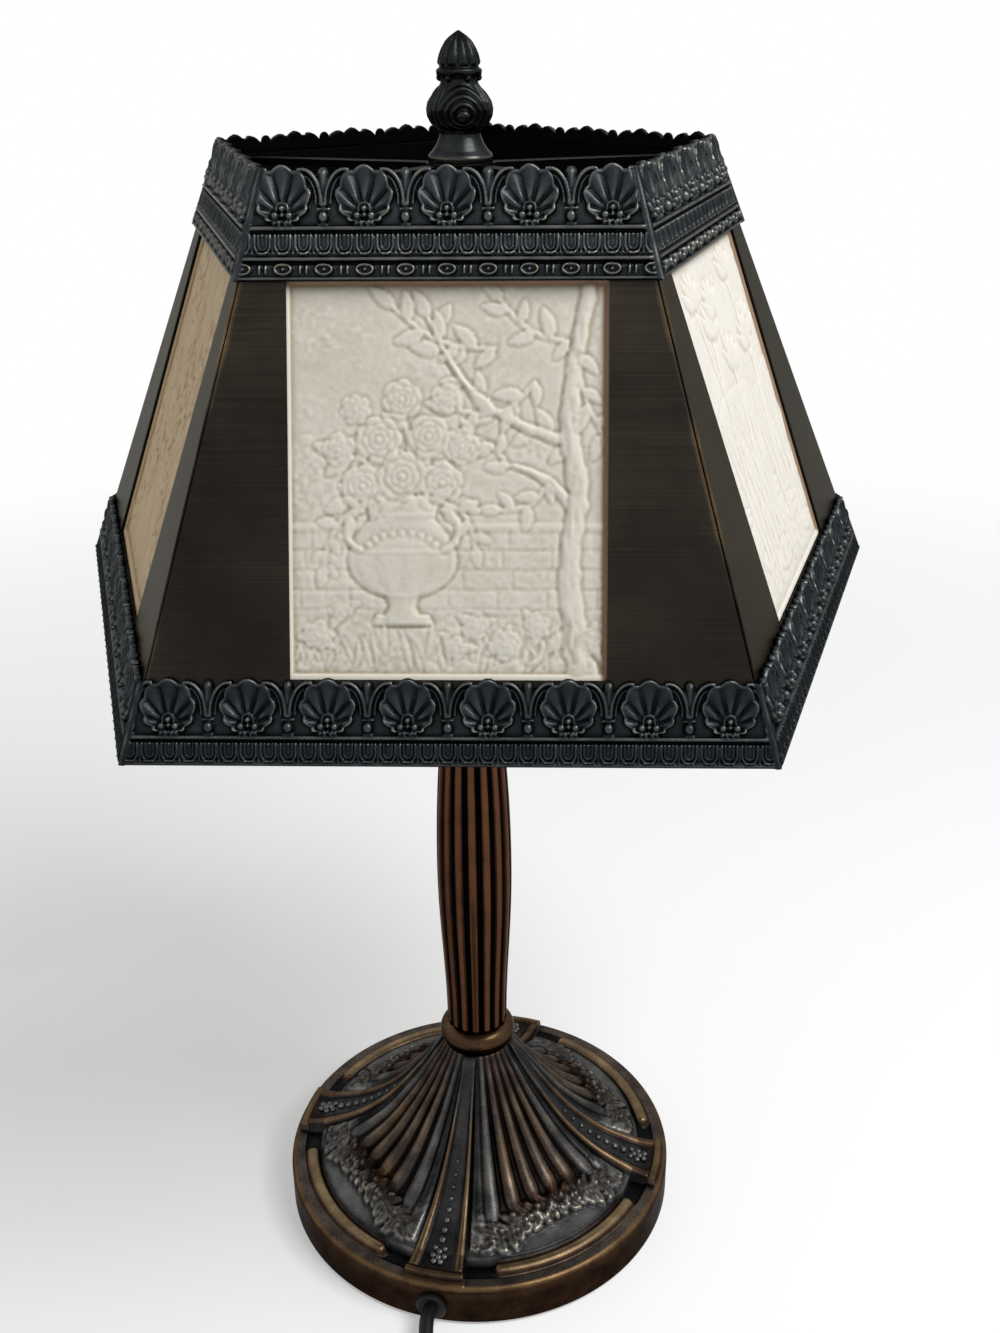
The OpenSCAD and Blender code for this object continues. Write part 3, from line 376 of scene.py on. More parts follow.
def plain_metal(name, dark, light, rough, line_mm=0.4):
    """Turned or drawn metal: fine rings from the lathe and a slight change of tone."""
    material, tree, place = new_finish(name)
    rings = noise(tree, mapped(tree, place, Scale=(20.0, 20.0, 1000 / line_mm)), 1.0, 1.0)
    cloud = noise(tree, place, 90.0, 3.0)
    surface(tree, {"Base Color": tones(tree, cloud, (0.3, dark), (0.7, light)), "Metallic": 1.0,
                   "Roughness": span(tree, cloud, rough + 0.12, rough - 0.05)}, (rings, 0.2, 0.02))
    return material


def moulded(name, dark, light, rough, grain_mm=0.5, depth_mm=0.03):
    """Moulded rubber or plastic: fine even grain from the mould, softly uneven gloss."""
    material, tree, place = new_finish(name)
    grain = noise(tree, place, 1000 / grain_mm, 2.0)
    cloud = noise(tree, place, 120.0, 2.0)
    surface(tree, {"Base Color": tones(tree, cloud, (0.3, dark), (0.7, light)), "Specular IOR Level": 0.22,
                   "Roughness": span(tree, cloud, rough - 0.06, rough + 0.08)}, (grain, 0.35, depth_mm))
    return material


def felt_finish():
    """Pressed wool felt: matt, with short crossed fibres."""
    material, tree, place = new_finish("pressed_wool_felt")
    fibre = noise(tree, place, 1400.0, 4.0, Distortion=1.5)
    surface(tree, {"Base Color": tones(tree, fibre, (0.3, "#1b1a18"), (0.75, "#37342f")), "Roughness": 0.95,
                   "Sheen Weight": 0.3}, (fibre, 0.8, 0.2))
    return material


def frosted_glass():
    """Bulb glass frosted inside: milky, with a smooth outer face."""
    material, tree, place = new_finish("inside_frosted_bulb_glass")
    milky = tones(tree, noise(tree, place, 45.0, 2.0), (0.3, "#e9e5dc"), (0.7, "#f4f1ea"))
    surface(tree, {"Base Color": milky, "Roughness": 0.22, "Transmission Weight": 0.25, "Subsurface Weight": 0.3,
                   "Subsurface Radius": (0.006, 0.006, 0.006)})
    return material


# Bands of the shade, heights above the sheet in millimetres

def shell_parts(u, y):
    """Outline distance and height of the row of shells; u runs from a shell's middle, y from the row's foot."""
    x = wrapped(u, SHELL_PITCH)
    a = np.abs(x)
    # The dish is an oval seen from its hinge, with nine lobes
    turn = np.arctan2(x, y - 3.6)
    reach = np.hypot(x, y - 3.6)
    wide, tall, up = 8.5, 8.6, 5.7
    sin, cos = np.sin(turn), np.cos(turn)
    p, q, s = (sin / wide) ** 2 + (cos / tall) ** 2, -2 * up * cos / tall ** 2, up ** 2 / tall ** 2 - 1
    rim = (-q + np.sqrt(q * q - 4 * p * s)) / (2 * p)
    lobe = np.abs(np.cos(math.pi * turn / math.radians(27)))
    rim = rim + 0.95 * (lobe - 0.62)
    d_rim = reach - rim
    inside = smooth(0.0, 0.35, -d_rim)
    depth = np.clip(reach / rim, 0, 1)
    ribs = 1.25 * smooth(1.5, 6.0, reach) * lobe
    dish = inside * (0.05 + 0.6 * depth ** 2.4 + ribs)
    lip = ridge(d_rim + 0.75, 0.85, 1.35 + 0.45 * lobe)
    # Trefoil on the hinge
    petal = ridge(np.hypot(x, y - 5.5) - 1.75, 0.5, 1.5) * (y > 4.8)
    pearls = highest(
        ball(x, y - 5.5, 1.25, 2.5), ball(x + 2.15, y - 3.5, 1.45, 2.4), ball(x - 2.15, y - 3.5, 1.45, 2.4),
        ball(x, y - 3.7, 0.9, 1.9), ball(x + 1.1, y - 1.6, 0.95, 1.8), ball(x - 1.3, y - 1.6, 1.0, 1.9), petal)
    # Cords arch from the shoulders down to a knot between two shells, with a bud above it and a bead below
    gap = SHELL_PITCH / 2 - a
    ex, ey = (a - 5.8) / 5.75, (y - 7.4) / 9.4
    bow = np.hypot(ex, ey)
    slope = np.hypot(ex / 5.75, ey / 9.4) / np.maximum(bow, 1e-6)
    d_bow = (bow - 1) / np.maximum(slope, 0.05)
    on_bow = (y > 7.0) & (a > 4.6)
    cords = np.where(on_bow, highest(ridge(d_bow, 0.78, 1.75), ridge(d_bow + 1.5, 0.5, 0.9)), 0)
    bud_r = 0.55 + 1.2 * smooth(7.5, 15.2, y)
    d_bud = np.where(y > 15.6, np.hypot(gap / 1.75, (y - 15.6) / 2.1) * 1.75 - 1.75, np.abs(gap) - bud_r)
    bud = np.where(y > 7.2, 2.0 * np.sqrt(np.clip(-d_bud / bud_r, 0, 1)) * smooth(6.5, 12.5, y), 0)
    knot = highest(ball(gap / 1.6, y - 6.8, 1.0, 1.9), ridge(y - 5.5, 0.4, 1.3) * (gap < 1.8))
    bead = highest(ball(gap, (y - 3.2) * 0.88, 1.75, 2.5), ridge(y - 1.0, 0.4, 1.1) * (gap < 1.5))
    height = highest(np.maximum(dish, lip) * (d_rim < 0.1), pearls, cords, bud, knot, bead)
    web = np.where((a > 6) & (d_bow > 0.6), -0.3, 0.0)
    outline = np.minimum(d_rim, y - 14.0)
    outline = np.where(on_bow, np.minimum(outline, d_bow - 0.78), np.where(y > 12, outline, y - 14.0))
    outline = np.minimum(outline, d_bud)
    return outline, height + web * (height < 0.3)


def tongue_parts(u, y):
    """Height of the row of tongues, from its lower line up to the dark groove under the shells."""
    x = wrapped(u, TONGUE_PITCH)
    d = np.where(y > 4.1, np.abs(x) - 2.3, np.hypot(x, (y - 4.1) * 0.85) - 2.3)
    row = (y > 1.3) & (y < 7.6)
    tongue = highest(ridge(d, 0.42, 1.0), ridge(d + 1.05, 0.33, 0.75), 0.35 * smooth(1.3, 2.0, -d))
    drop = ball(x, y - 6.9, 0.62, 1.0)
    dart = ridge(TONGUE_PITCH / 2 - np.abs(x), 0.34, 0.8) * smooth(1.2, 1.9, y) * smooth(7.4, 5.6, y)
    rough = ridge(y - 1.45, 0.42, 0.75) * (0.8 + 0.2 * np.cos(2 * math.pi * u / 1.35))
    return np.where(row, highest(tongue, drop, dart), 0) + rough


def bead_parts(u, y):
    """Height of the bead and reel row: ringed ovals with a round eye, two reels between them."""
    x = wrapped(u, BEAD_PITCH)
    oval = np.hypot(x / 2.95, (y - 3.25) / 1.8)
    ring = ridge((oval - 0.84) * 2.0, 0.42, 1.15)
    body = 0.35 * smooth(1.0, 0.8, oval)
    eye = ball(x, y - 3.25, 0.8, 1.2)
    reel = np.abs(np.abs(x) - BEAD_PITCH / 2)
    reels = ridge(np.hypot((reel - 0.95) / 0.58, (y - 3.25) / 1.75), 1.0, 1.15)
    edge = ridge(y - 0.6, 0.6, 0.95)
    return highest(ring + body, eye, reels, edge)


def crown_parts(u, v):
    """Outline distance and height of the crown's band: beads and reels, tongues, shells."""
    outline, shells = shell_parts(u, v - 15.2)
    low, high = ROW_BEAD, ROW_BEAD + ROW_TONGUE
    field = np.where(v > high, shells, np.where(v > low, tongue_parts(u, v - low), bead_parts(u, v)))
    lines = highest(ridge(v - low, 0.8, 1.35), ridge(v - high, 0.85, 1.5))
    grooves = 0.6 * (smooth(0.55, 0.0, np.abs(v - low + 1.15)) + smooth(0.6, 0.0, np.abs(v - high + 1.3)))
    return outline, BAND_PLATE + np.maximum(field, lines) - grooves


def skirt_parts(u, v):
    """Outline distance and height of the skirt's band: tongues and shells."""
    outline, shells = shell_parts(u + SHELL_PITCH / 2, v - ROW_TONGUE)
    field = np.where(v > ROW_TONGUE, shells, tongue_parts(u, v))
    lines = highest(ridge(v - ROW_TONGUE, 0.85, 1.5), ridge(v - 0.65, 0.65, 1.15))
    grooves = 0.6 * smooth(0.6, 0.0, np.abs(v - ROW_TONGUE + 1.3))
    return outline, BAND_PLATE + np.maximum(field, lines) - grooves


def flooded(reached, allowed):
    """The cells that a flood reaches from its first ones, going from side to side through the allowed ones."""
    while True:
        wider = reached.copy()
        wider[1:] |= reached[:-1]
        wider[:-1] |= reached[1:]
        wider[:, 1:] |= reached[:, :-1]
        wider[:, :-1] |= reached[:, 1:]
        wider &= allowed
        if (wider == reached).all():
            return reached
        reached = wider


def band_cells(kept):
    """The band's own cells: loose ones dropped, holes filled, and those that only touch at a corner joined."""
    seed = np.zeros_like(kept)
    seed[2, :] = kept[2, :]
    around = np.pad(np.zeros_like(kept), 1, constant_values=True)
    kept = ~flooded(around, ~np.pad(flooded(seed, kept), 1))[1:-1, 1:-1]
    for _ in range(3):
        a, b, c, d = kept[:-1, :-1], kept[:-1, 1:], kept[1:, :-1], kept[1:, 1:]
        kept[:-1, :-1] |= b & c & ~d
        kept[:-1, 1:] |= a & d & ~c
    return kept


def band_mesh(parts, foot_v, height, step):
    """Points in u, v, w, faces and rubbing of one cast band, trimmed to its outline and mitred at both ends; its flat
    back is painted darkest as painted shade.
    """
    n = int(side_half(foot_v, 3.2) / step) + 2
    rows, cols = int(height / step) + 3, 2 * n + 1
    U, V = np.meshgrid(np.linspace(-n * step, n * step, cols), np.linspace(0, rows * step, rows + 1))

    def distance(u, v):
        trim, field = parts(u, v)
        # The casting ends in a plain post at each mitred corner
        post = smooth(2.7, 1.3, side_half(foot_v + v, 1.9) - np.abs(u))
        field = field + post * (BAND_PLATE + 0.8 - field)
        ends = np.abs(u) - side_half(foot_v + v, field)
        return np.maximum(np.where(v > height - ROW_SHELL + 2, trim, -1.0), ends), field

    D, H = distance(U, V)
    corner = smooth(1.1, 0.1, side_half(foot_v + V, H) - np.abs(U))
    wear_and_shading = np.clip(rubbed(H, 8, 0.6) + corner * (0.2 + 0.25 * value_noise(V, U, 4.0, 27)), 0, 1).ravel()
    i, j = np.nonzero(band_cells((D[:-1, :-1] + D[1:, :-1] + D[:-1, 1:] + D[1:, 1:]) < 0))
    first = i * cols + j
    quads = np.stack([first, first + 1, first + cols + 1, first + cols], axis=-1)
    edges = np.concatenate([quads[:, [k, (k + 1) % 4]] for k in range(4)])
    shared = np.isin(edges[:, 0] * U.size + edges[:, 1], edges[:, 1] * U.size + edges[:, 0])
    border = edges[~shared]

    # Border points slide onto the outline
    at = np.unique(border)
    U, V, H = U.flatten(), V.flatten(), H.flatten()
    u, v = U[at], V[at]
    live = v > 1e-6
    for _ in range(4):
        d = distance(u, v)[0]
        gu = (distance(u + 0.04, v)[0] - distance(u - 0.04, v)[0]) / 0.08
        gv = (distance(u, v + 0.04)[0] - distance(u, v - 0.04)[0]) / 0.08
        norm = np.maximum(gu * gu + gv * gv, 0.25)
        move_u, move_v = -d * gu / norm, -d * gv / norm * live
        length = np.maximum(np.hypot(move_u, move_v) / (0.6 * step), 1)
        u, v = u + move_u / length, v + move_v / length
    u = U[at] + np.clip(u - U[at], -step, step)
    v = np.maximum(V[at] + np.clip(v - V[at], -step, step), 0)
    h = distance(u, v)[1]
    reach = side_half(foot_v + v, h)
    at_end = np.abs(u) > reach - 0.6 * step
    U[at], V[at], H[at] = np.where(at_end, np.sign(u) * reach, u), v, h

    used = np.unique(quads)
    front_at, back_at = np.full(U.size, -1), np.full(U.size, -1)
    front_at[used] = np.arange(used.size)
    back_at[at] = used.size + np.arange(at.size)
    back_u = np.where(at_end, np.sign(U[at]) * side_half(foot_v + V[at], BAND_BACK), U[at])
    points = np.concatenate([np.stack([U[used], V[used], H[used]], axis=-1),
                             np.stack([back_u, V[at], np.full(at.size, BAND_BACK)], axis=-1)])
    points[:, 1] += foot_v
    start, end = border[:, 0], border[:, 1]
    faces = front_at[quads].tolist()
    faces += np.stack([front_at[end], front_at[start], back_at[start], back_at[end]], axis=-1).tolist()
    # The flat back is one face, its border walked the other way round
    follow = dict(border.tolist())
    loop = [int(start[0])]
    while follow[loop[-1]] != loop[0]:
        loop.append(follow[loop[-1]])
    if len(loop) != len(border):
        raise RuntimeError(f"the band's border has {len(border)} edges, and one loop holds {len(loop)}")
    faces.append([int(back_at[k]) for k in reversed(loop)])
    # The back's points get no rubbing, which paints them darkest as painted shade behind the band
    return points, faces, np.concatenate([wear_and_shading[used], np.zeros(at.size)])


# Reliefs of the plaques, as distances in millimetres on the plaque's own plane

class Relief:
    """A field of heights on a grid, to which leaves, stems, flowers and hills are added."""

    def __init__(self, u, v, seed):
        self.u, self.v = u, v
        self.h = np.zeros_like(u)
        self.gen = np.random.default_rng(seed)

    def lay(self, field, soft=0.12, keep=0.35):
        """Adds a shape over a share of what is there, with a fine dark line round it."""
        inside = field > 0
        halo = blurred(inside.astype(float), 3)
        cut = (halo > 0.04) & ~inside
        self.h = np.where(inside, np.maximum(self.h * keep, 0) + field, self.h - soft * cut * 2.2)

    def leaf(self, x, y, angle, length, width, rise, veins=True, curl=0.0):
        """A leaf from its stalk at x and y, with a midrib and perhaps veins."""
        c, s = math.cos(angle), math.sin(angle)
        p = (self.u - x) * c + (self.v - y) * s
        q = -(self.u - x) * s + (self.v - y) * c
        q = q - curl * p * (length - p) / length
        t = np.clip(p / length, 0, 1)
        half = width / 2 * np.sin(math.pi * t ** 0.8) ** 0.85 * (1 + 0.08 * np.cos(p * 3.2))
        inside = (p > 0) & (p < length) & (np.abs(q) < half)
        f = np.where(inside, np.abs(q) / np.maximum(half, 1e-3), 1)
        h = rise * (0.35 + 0.65 * np.sqrt(np.clip(1 - f ** 2, 0, 1))) * (0.7 + 0.3 * t)
        h = h - 0.28 * rise * np.exp(-(q / 0.28) ** 2)
        if veins:
            h = h - 0.14 * rise * np.clip(np.cos((p - np.abs(q) * 1.1) * 2.6), 0, 1) ** 4
        self.lay(np.where(inside, np.maximum(h, 0.05), 0))

    def along(self, points):
        """Distance from each span of a line, and the share of the span at which it is nearest."""
        for (x0, y0, *_), (x1, y1, *_) in zip(points[:-1], points[1:]):
            dx, dy = x1 - x0, y1 - y0
            t = np.clip(((self.u - x0) * dx + (self.v - y0) * dy) / (dx * dx + dy * dy), 0, 1)
            yield np.hypot(self.u - x0 - t * dx, self.v - y0 - t * dy), t

    def stem(self, points, r, rise):
        self.lay(ridge(np.minimum.reduce([d for d, _ in self.along(points)]), r, rise))

    def flower(self, x, y, r, rise, petals=6, turn=0.0):
        """Three rings of petals round a button."""
        p, q = self.u - x, self.v - y
        d, a = np.hypot(p, q), np.arctan2(q, p) + turn
        for ring, (size, lift) in enumerate(((1.0, 0.72), (0.68, 0.9), (0.4, 1.05))):
            lobes = np.abs(np.cos(petals * (a + ring * 0.5) / 2))
            edge = r * size * (0.8 + 0.2 * lobes ** 0.6)
            f = d / edge
            h = rise * lift * (0.55 + 0.45 * f ** 2) * (0.75 + 0.25 * lobes)
            self.lay(np.where(f < 1, h, 0), 0.08)
        self.lay(ball(p, q, r * 0.16, rise * 1.2), 0.08)

    def berry(self, x, y, r, rise):
        self.lay(ball(self.u - x, self.v - y, r, rise), 0.08)

    def hills(self, base, rise, cell, seed, dip=0.3):
        """A skyline, with the land a little below the sky and a fine groove between them."""
        line = base + rise * value_noise(self.u, 0 * self.v, cell, seed)
        line = line + 0.35 * rise * value_noise(self.u, 0 * self.v, cell / 3, seed + 1)
        self.h = self.h + dip * smooth(0.0, 0.6, line - self.v) - 0.18 * np.exp(-((line - self.v) / 0.35) ** 2)

    def grass(self, base, count, length, spread):
        for _ in range(count):
            x = self.gen.uniform(self.u.min(), self.u.max())
            y = base + self.gen.uniform(-spread, spread)
            lean = self.gen.uniform(-0.5, 0.5)
            tall = length * self.gen.uniform(0.5, 1.1)
            self.leaf(x, y, math.pi / 2 + lean, tall, tall * 0.13, 0.22, veins=False,
                      curl=self.gen.uniform(-0.2, 0.2))

    def wall(self, low, high, course, block, depth):
        """Courses of rough stones under a coping."""
        row = np.floor((self.v - low) / course)
        level = wrapped(self.v - low + 0.35 * value_noise(self.u, self.v, 6.0, 71), course)
        upright = wrapped(self.u + 0.55 * block * row + 3.0 * np.sin(2.3 * row), block)
        joint = np.maximum(np.exp(-(level / 0.38) ** 2), np.exp(-(upright / 0.32) ** 2))
        stone = 0.3 + 0.1 * np.sin(5.1 * row + 1.7 * np.round((self.u + 0.55 * block * row) / block))
        within = smooth(low - 3, low, self.v) * (self.v < high)
        self.h = self.h + within * (stone - depth * joint)
        coping = ridge(self.v - high - 0.8, 1.5, 0.62)
        self.h = np.maximum(self.h, coping) - 0.25 * np.exp(-((self.v - high + 1.1) / 0.35) ** 2)

    def trunk(self, points, rise, seed):
        """A tapering trunk or limb with rough bark, through places given with their radii."""
        radii = [(a[2], b[2]) for a, b in zip(points[:-1], points[1:])]
        shares = [d / (r0 + t * (r1 - r0)) for (d, t), (r0, r1) in zip(self.along(points), radii)]
        near = np.minimum.reduce(shares)
        near = near * (1 + 0.22 * value_noise(self.u, self.v, 3.4, seed))
        bark = 0.3 * value_noise(self.u, self.v / 4, 1.2, seed + 1)
        bark = bark + 0.15 * value_noise(self.u, self.v / 2, 0.8, seed + 2)
        round_side = np.sqrt(np.clip(1 - near ** 2, 0, 1))
        self.lay(np.where(near < 1, rise * round_side * (1 + bark) + 0.08, 0), 0.14, 0.1)

    def stipple(self, mask, depth, cell, seed):
        rough = value_noise(self.u, self.v, cell, seed) + 0.5 * value_noise(self.u, self.v, cell / 2.3, seed + 1)
        self.h = self.h + depth * rough * mask


def spray(relief, points, leaf, width, rise, every, sway=0.9, stem_r=0.7):
    """A stem with leaves set along it, left and right in turn."""
    relief.stem(points, stem_r, rise * 0.8)
    walked, side = 0.0, 1
    for (x0, y0), (x1, y1) in zip(points[:-1], points[1:]):
        length = math.hypot(x1 - x0, y1 - y0)
        angle = math.atan2(y1 - y0, x1 - x0)
        while walked < length:
            t = walked / length
            x, y = x0 + t * (x1 - x0), y0 + t * (y1 - y0)
            size = leaf * relief.gen.uniform(0.75, 1.1)
            relief.leaf(x, y, angle + side * sway * relief.gen.uniform(0.75, 1.2), size, size * width, rise,
                        curl=side * 0.12)
            side = -side
            walked += every
        walked -= length
    (x0, y0), (x1, y1) = points[-2:]
    relief.leaf(x1, y1, math.atan2(y1 - y0, x1 - x0), leaf, leaf * width, rise)


def sprays(relief, lines, *looks):
    for line in lines:
        spray(relief, arc(*line), *looks)


def eased(points, per_span):
    """A smooth line through points of any dimension, with some points added in each span."""
    places = [np.array(point, float) for point in (points[0], *points, points[-1])]
    out = []
    for a, b, c, d in zip(places, places[1:], places[2:], places[3:]):
        for t in (s / per_span for s in range(per_span)):
            bent = 2 * b + (c - a) * t + (2 * a - 5 * b + 4 * c - d) * t ** 2
            out.append(0.5 * (bent + (3 * b - a - 3 * c + d) * t ** 3))
    return out + places[-1:]


def arc(x0, y0, x1, y1, bend, count=7):
    """Points of a shallow curve between two places."""
    dx, dy = x1 - x0, y1 - y0
    size = math.hypot(dx, dy)
    out = []
    for t in (k / count for k in range(count + 1)):
        lift = bend * math.sin(math.pi * t)
        out.append((x0 + t * dx - dy / size * lift, y0 + t * dy + dx / size * lift))
    return out


def garden_urn(r):
    """Front plaque: an urn of flowers before a garden wall, with a gnarled leafy tree at the right."""
    thicket = smooth(-0.15, 0.35, value_noise(r.u, r.v, 13, 9))
    r.hills(72, 7, 21, 3, 0.15)
    r.stipple(smooth(44, 52, r.v) * thicket, 0.26, 1.5, 11)
    r.stipple(smooth(44, 52, r.v) * (1 - thicket), 0.1, 3.2, 13)
    r.wall(20, 44, 6.0, 15.0, 0.34)
    r.stipple(smooth(50, 44, r.v), 0.1, 1.3, 15)
    r.stipple(smooth(21, 15, r.v), 0.2, 1.5, 12)
    # Tree with hanging boughs at the right
    spray(r, arc(37, 70, -6, 107, 8), 9.5, 0.46, 0.5, 6.2, 0.9)
    for limb, bend, wide, narrow in (((39, 12, 24, 1), -2, 2.8, 0.5), ((41, 10, 50, 0), 1, 2.6, 0.7),
                                     ((37, 70, -6, 107), 8, 1.9, 0.4), ((38, 50, 16, 64), -3, 2.0, 0.4)):
        line = arc(*limb, bend, 9)
        r.trunk([(x, y, wide + (narrow - wide) * k / 9) for k, (x, y) in enumerate(line)], 0.75, 80 + int(wide * 10))
    bole = [(41.5, -3, 5.2), (39.5, 7, 4.2), (37.5, 22, 3.4), (37, 38, 3.1), (39.2, 55, 3.0), (36.8, 74, 2.8),
            (38.4, 95, 2.4), (43, 120, 2.0)]
    r.trunk(eased(bole, 4), 1.05, 88)
    for line, leaf, rise, every in (
            ((14, 98, -16, 110, 4), 10, 0.55, 5.6), ((26, 88, 2, 80, 5), 9.5, 0.55, 5.2),
            ((18, 63, 2, 72, -3), 8, 0.5, 4.8), ((30, 58, 16, 50, 3), 7.5, 0.5, 4.6),
            ((39, 96, 47, 72, -2), 8.5, 0.5, 5.0), ((36, 100, 16, 112, 3), 9, 0.5, 5.2)):
        spray(r, arc(*line), leaf, 0.44, rise, every)
    # Urn on a low plinth
    x, base = -14.0, 15.0
    p, y = r.u - x, r.v - base
    bowl = 5.0 + 11.5 * np.sin(math.pi * np.clip((y - 9) / 27, 0, 1) ** 0.75) ** 0.8
    parts = [9.5 - 0.5 * y, 4.2 + 0.12 * (y - 6) ** 2, bowl]
    half = np.select([y < 3, y < 9, y < 33], parts, 9.8 + 2.2 * smooth(33, 39, y))
    on_urn = (y > 0) & (y < 39) & (np.abs(p) < half)
    across = p / np.maximum(half, 0.1)
    body = 0.95 * np.sqrt(np.clip(1 - np.abs(across) ** 2, 0, 1)) + 0.2
    flute = 0.16 * np.abs(np.sin(np.arcsin(np.clip(across, -1, 1)) * 6)) * ((y > 10) & (y < 21))
    bands = 0.22 * (ridge(y - 22.4, 0.7, 1) + ridge(y - 33.5, 0.8, 1) + ridge(y - 38.2, 0.8, 1)
                    + ridge(y - 9.2, 0.8, 1))
    r.lay(np.where(on_urn, body + flute + bands, 0), 0.2, 0.0)
    for k in range(-4, 5):
        r.berry(x + 3.0 * k * math.cos(k / 7), base + 28 - 0.22 * k * k, 1.15, 0.9)
    for hand in (-1, 1):
        turns = np.linspace(0.1, 3.0, 9)
        r.stem([(x + hand * (12 + 5 * math.sin(t)), base + 30 + 6 * math.cos(t) - 1) for t in turns], 1.0, 0.9)
    # Flowers and leaves over its lip
    for dx, dy in ((-17, 52), (17, 52), (-9, 66), (10, 65), (0, 79), (-20, 66), (21, 66)):
        spray(r, arc(x, base + 40, x + dx * 0.95, base + dy - 14, 2 if dx > 0 else -2), 8.5, 0.5, 0.5, 5.0, 1.0)
    for k, (dx, dy, size) in enumerate((
            (-12, 46, 6.5), (12, 47, 6.5), (0, 49, 7.5), (-19, 57, 5.0), (18, 58, 5.5), (-7, 60, 7.0), (8, 61, 6.5),
            (0, 72, 6.0), (-14, 69, 4.5), (13, 72, 4.5))):
        r.flower(x + dx, base + dy - 4, size, 0.7, 5 + k % 3, 0.7 * k)
    sprays(r, ((x - 9, base + 38, x - 24, base + 18, -4), (x + 9, base + 38, x + 22, base + 24, 4)), 7, 0.5, 0.5, 4.4)
    # Plants along the foot of the picture
    r.grass(3, 46, 13, 3)
    for k, (fx, fy, size) in enumerate((
            (8, 15, 4.2), (17, 9, 4.8), (27, 15, 4.0), (-40, 12, 4.6), (-33, 20, 3.6), (43, 10, 4.2), (2, 8, 3.6))):
        for turn in (2.6, 0.3):
            r.leaf(fx, fy, turn + k, 7, 3, 0.4)
        r.flower(fx, fy, size, 0.6, 5, 0.4 * k)


def lily_pond(r):
    """Tall lilies and reeds over a pond."""
    r.hills(70, 4, 24, 21, 0.2)
    r.stipple(smooth(80, 100, r.v), 0.1, 2.6, 22)
    for k in range(9):
        y = 6 + 5.5 * k
        r.h = r.h - 0.12 * np.exp(-((r.v - y - 0.8 * np.sin(r.u * 0.25 + k)) / 0.4) ** 2)
    for x, y, size in ((-28, 16, 9), (-6, 10, 11), (22, 19, 10), (38, 8, 8), (-40, 34, 6), (8, 31, 7)):
        p, q = r.u - x, (r.v - y) * 2.2
        pad = (np.hypot(p, q) < size) & ~((np.abs(q) < p * 0.25) & (p > 0))
        r.lay(np.where(pad, 0.35 - 0.1 * np.cos(np.arctan2(q, p) * 9), 0))
    for x, lean, top in ((-30, 0.16, 92), (-19, -0.08, 104), (-7, 0.1, 78), (6, -0.12, 98), (17, 0.2, 84),
                         (30, -0.05, 106), (40, -0.15, 80)):
        r.stem(arc(x, 4, x + lean * top, top, 3 if lean > 0 else -3), 0.9, 0.6)
        for turn in (-0.9, -0.45, 0.0, 0.45, 0.9):
            r.leaf(x + lean * top, top - 2, math.pi / 2 - lean + turn, 13, 4.4, 0.8, curl=turn * 0.2)
    for k in range(16):
        r.leaf(-44 + 5.7 * k, 2 + (k * 7) % 9, math.pi / 2 + 0.35 * math.sin(k * 2.3), 52 + (k * 13) % 25, 4.2, 0.45,
               curl=0.14 * math.sin(k * 1.7))


def oak_bough(r):
    """A bough with broad leaves and acorns over distant hills."""
    r.hills(38, 6, 22, 31, 0.25)
    r.hills(24, 4, 15, 33, 0.22)
    r.stipple(smooth(60, 40, r.v), 0.1, 1.9, 34)
    sprays(r, ((-48, 104, 30, 84, -9), (-20, 97, -4, 62, -5), (8, 92, 34, 60, 5), (-46, 88, -30, 50, 4),
               (20, 86, 46, 106, 4)), 13, 0.52, 0.7, 6.2, 1.0, 1.1)
    for k, (x, y) in enumerate(((-12, 70), (-3, 74), (24, 70), (-34, 62), (31, 92), (2, 94))):
        r.leaf(x, y, -math.pi / 2 + 0.2 * math.sin(k), 7, 5, 1.0, veins=False)
        r.berry(x, y, 3.0, 1.1)
    r.grass(3, 60, 12, 4)


def vine(r):
    """A climbing vine with bunches of round fruit."""
    r.stipple(np.ones_like(r.u), 0.07, 2.2, 41)
    r.stipple(smooth(30, 0, r.v), 0.16, 1.6, 43)
    r.stem(arc(-40, 0, 30, 60, 10) + arc(30, 60, -20, 118, 12)[1:], 1.6, 0.9)
    sprays(r, ((-30, 20, 10, 14, 4), (6, 40, -34, 56, 6), (30, 58, 44, 30, -4), (20, 82, -26, 84, -6),
               (-10, 108, 36, 104, 5)), 12, 0.62, 0.6, 6.6, 1.0, 0.8)
    for x, y in ((-8, 34), (26, 40), (-20, 72), (14, 96), (36, 78), (-34, 100)):
        for row, count in enumerate((3, 4, 5, 4, 3, 2, 1)):
            for k in range(count):
                aside = (k - (count - 1) / 2) * 3.4 + r.gen.uniform(-0.5, 0.5)
                r.berry(x + aside, y - row * 2.9 + r.gen.uniform(-0.5, 0.5), 2.1, 1.15)


def rose_trellis(r):
    """Roses on a lattice."""
    for shift in (1, -1):
        r.h = np.maximum(r.h, ridge(wrapped(r.u + shift * r.v * 0.8, 19), 1.1, 0.35))
    sprays(r, ((-44, 6, 20, 66, 8), (40, 0, -10, 60, -7), (20, 66, -30, 112, 6), (-10, 60, 40, 110, -5)),
           10, 0.5, 0.6, 5.6, 1.0, 1.1)
    for k, (x, y, size) in enumerate((
            (-22, 32, 8), (18, 28, 7), (2, 58, 9), (-28, 70, 7), (28, 76, 8), (-6, 92, 8), (34, 104, 6),
            (-36, 100, 6), (36, 48, 5.5), (-38, 48, 5))):
        r.flower(x, y, size, 0.9, 5, 0.6 * k)


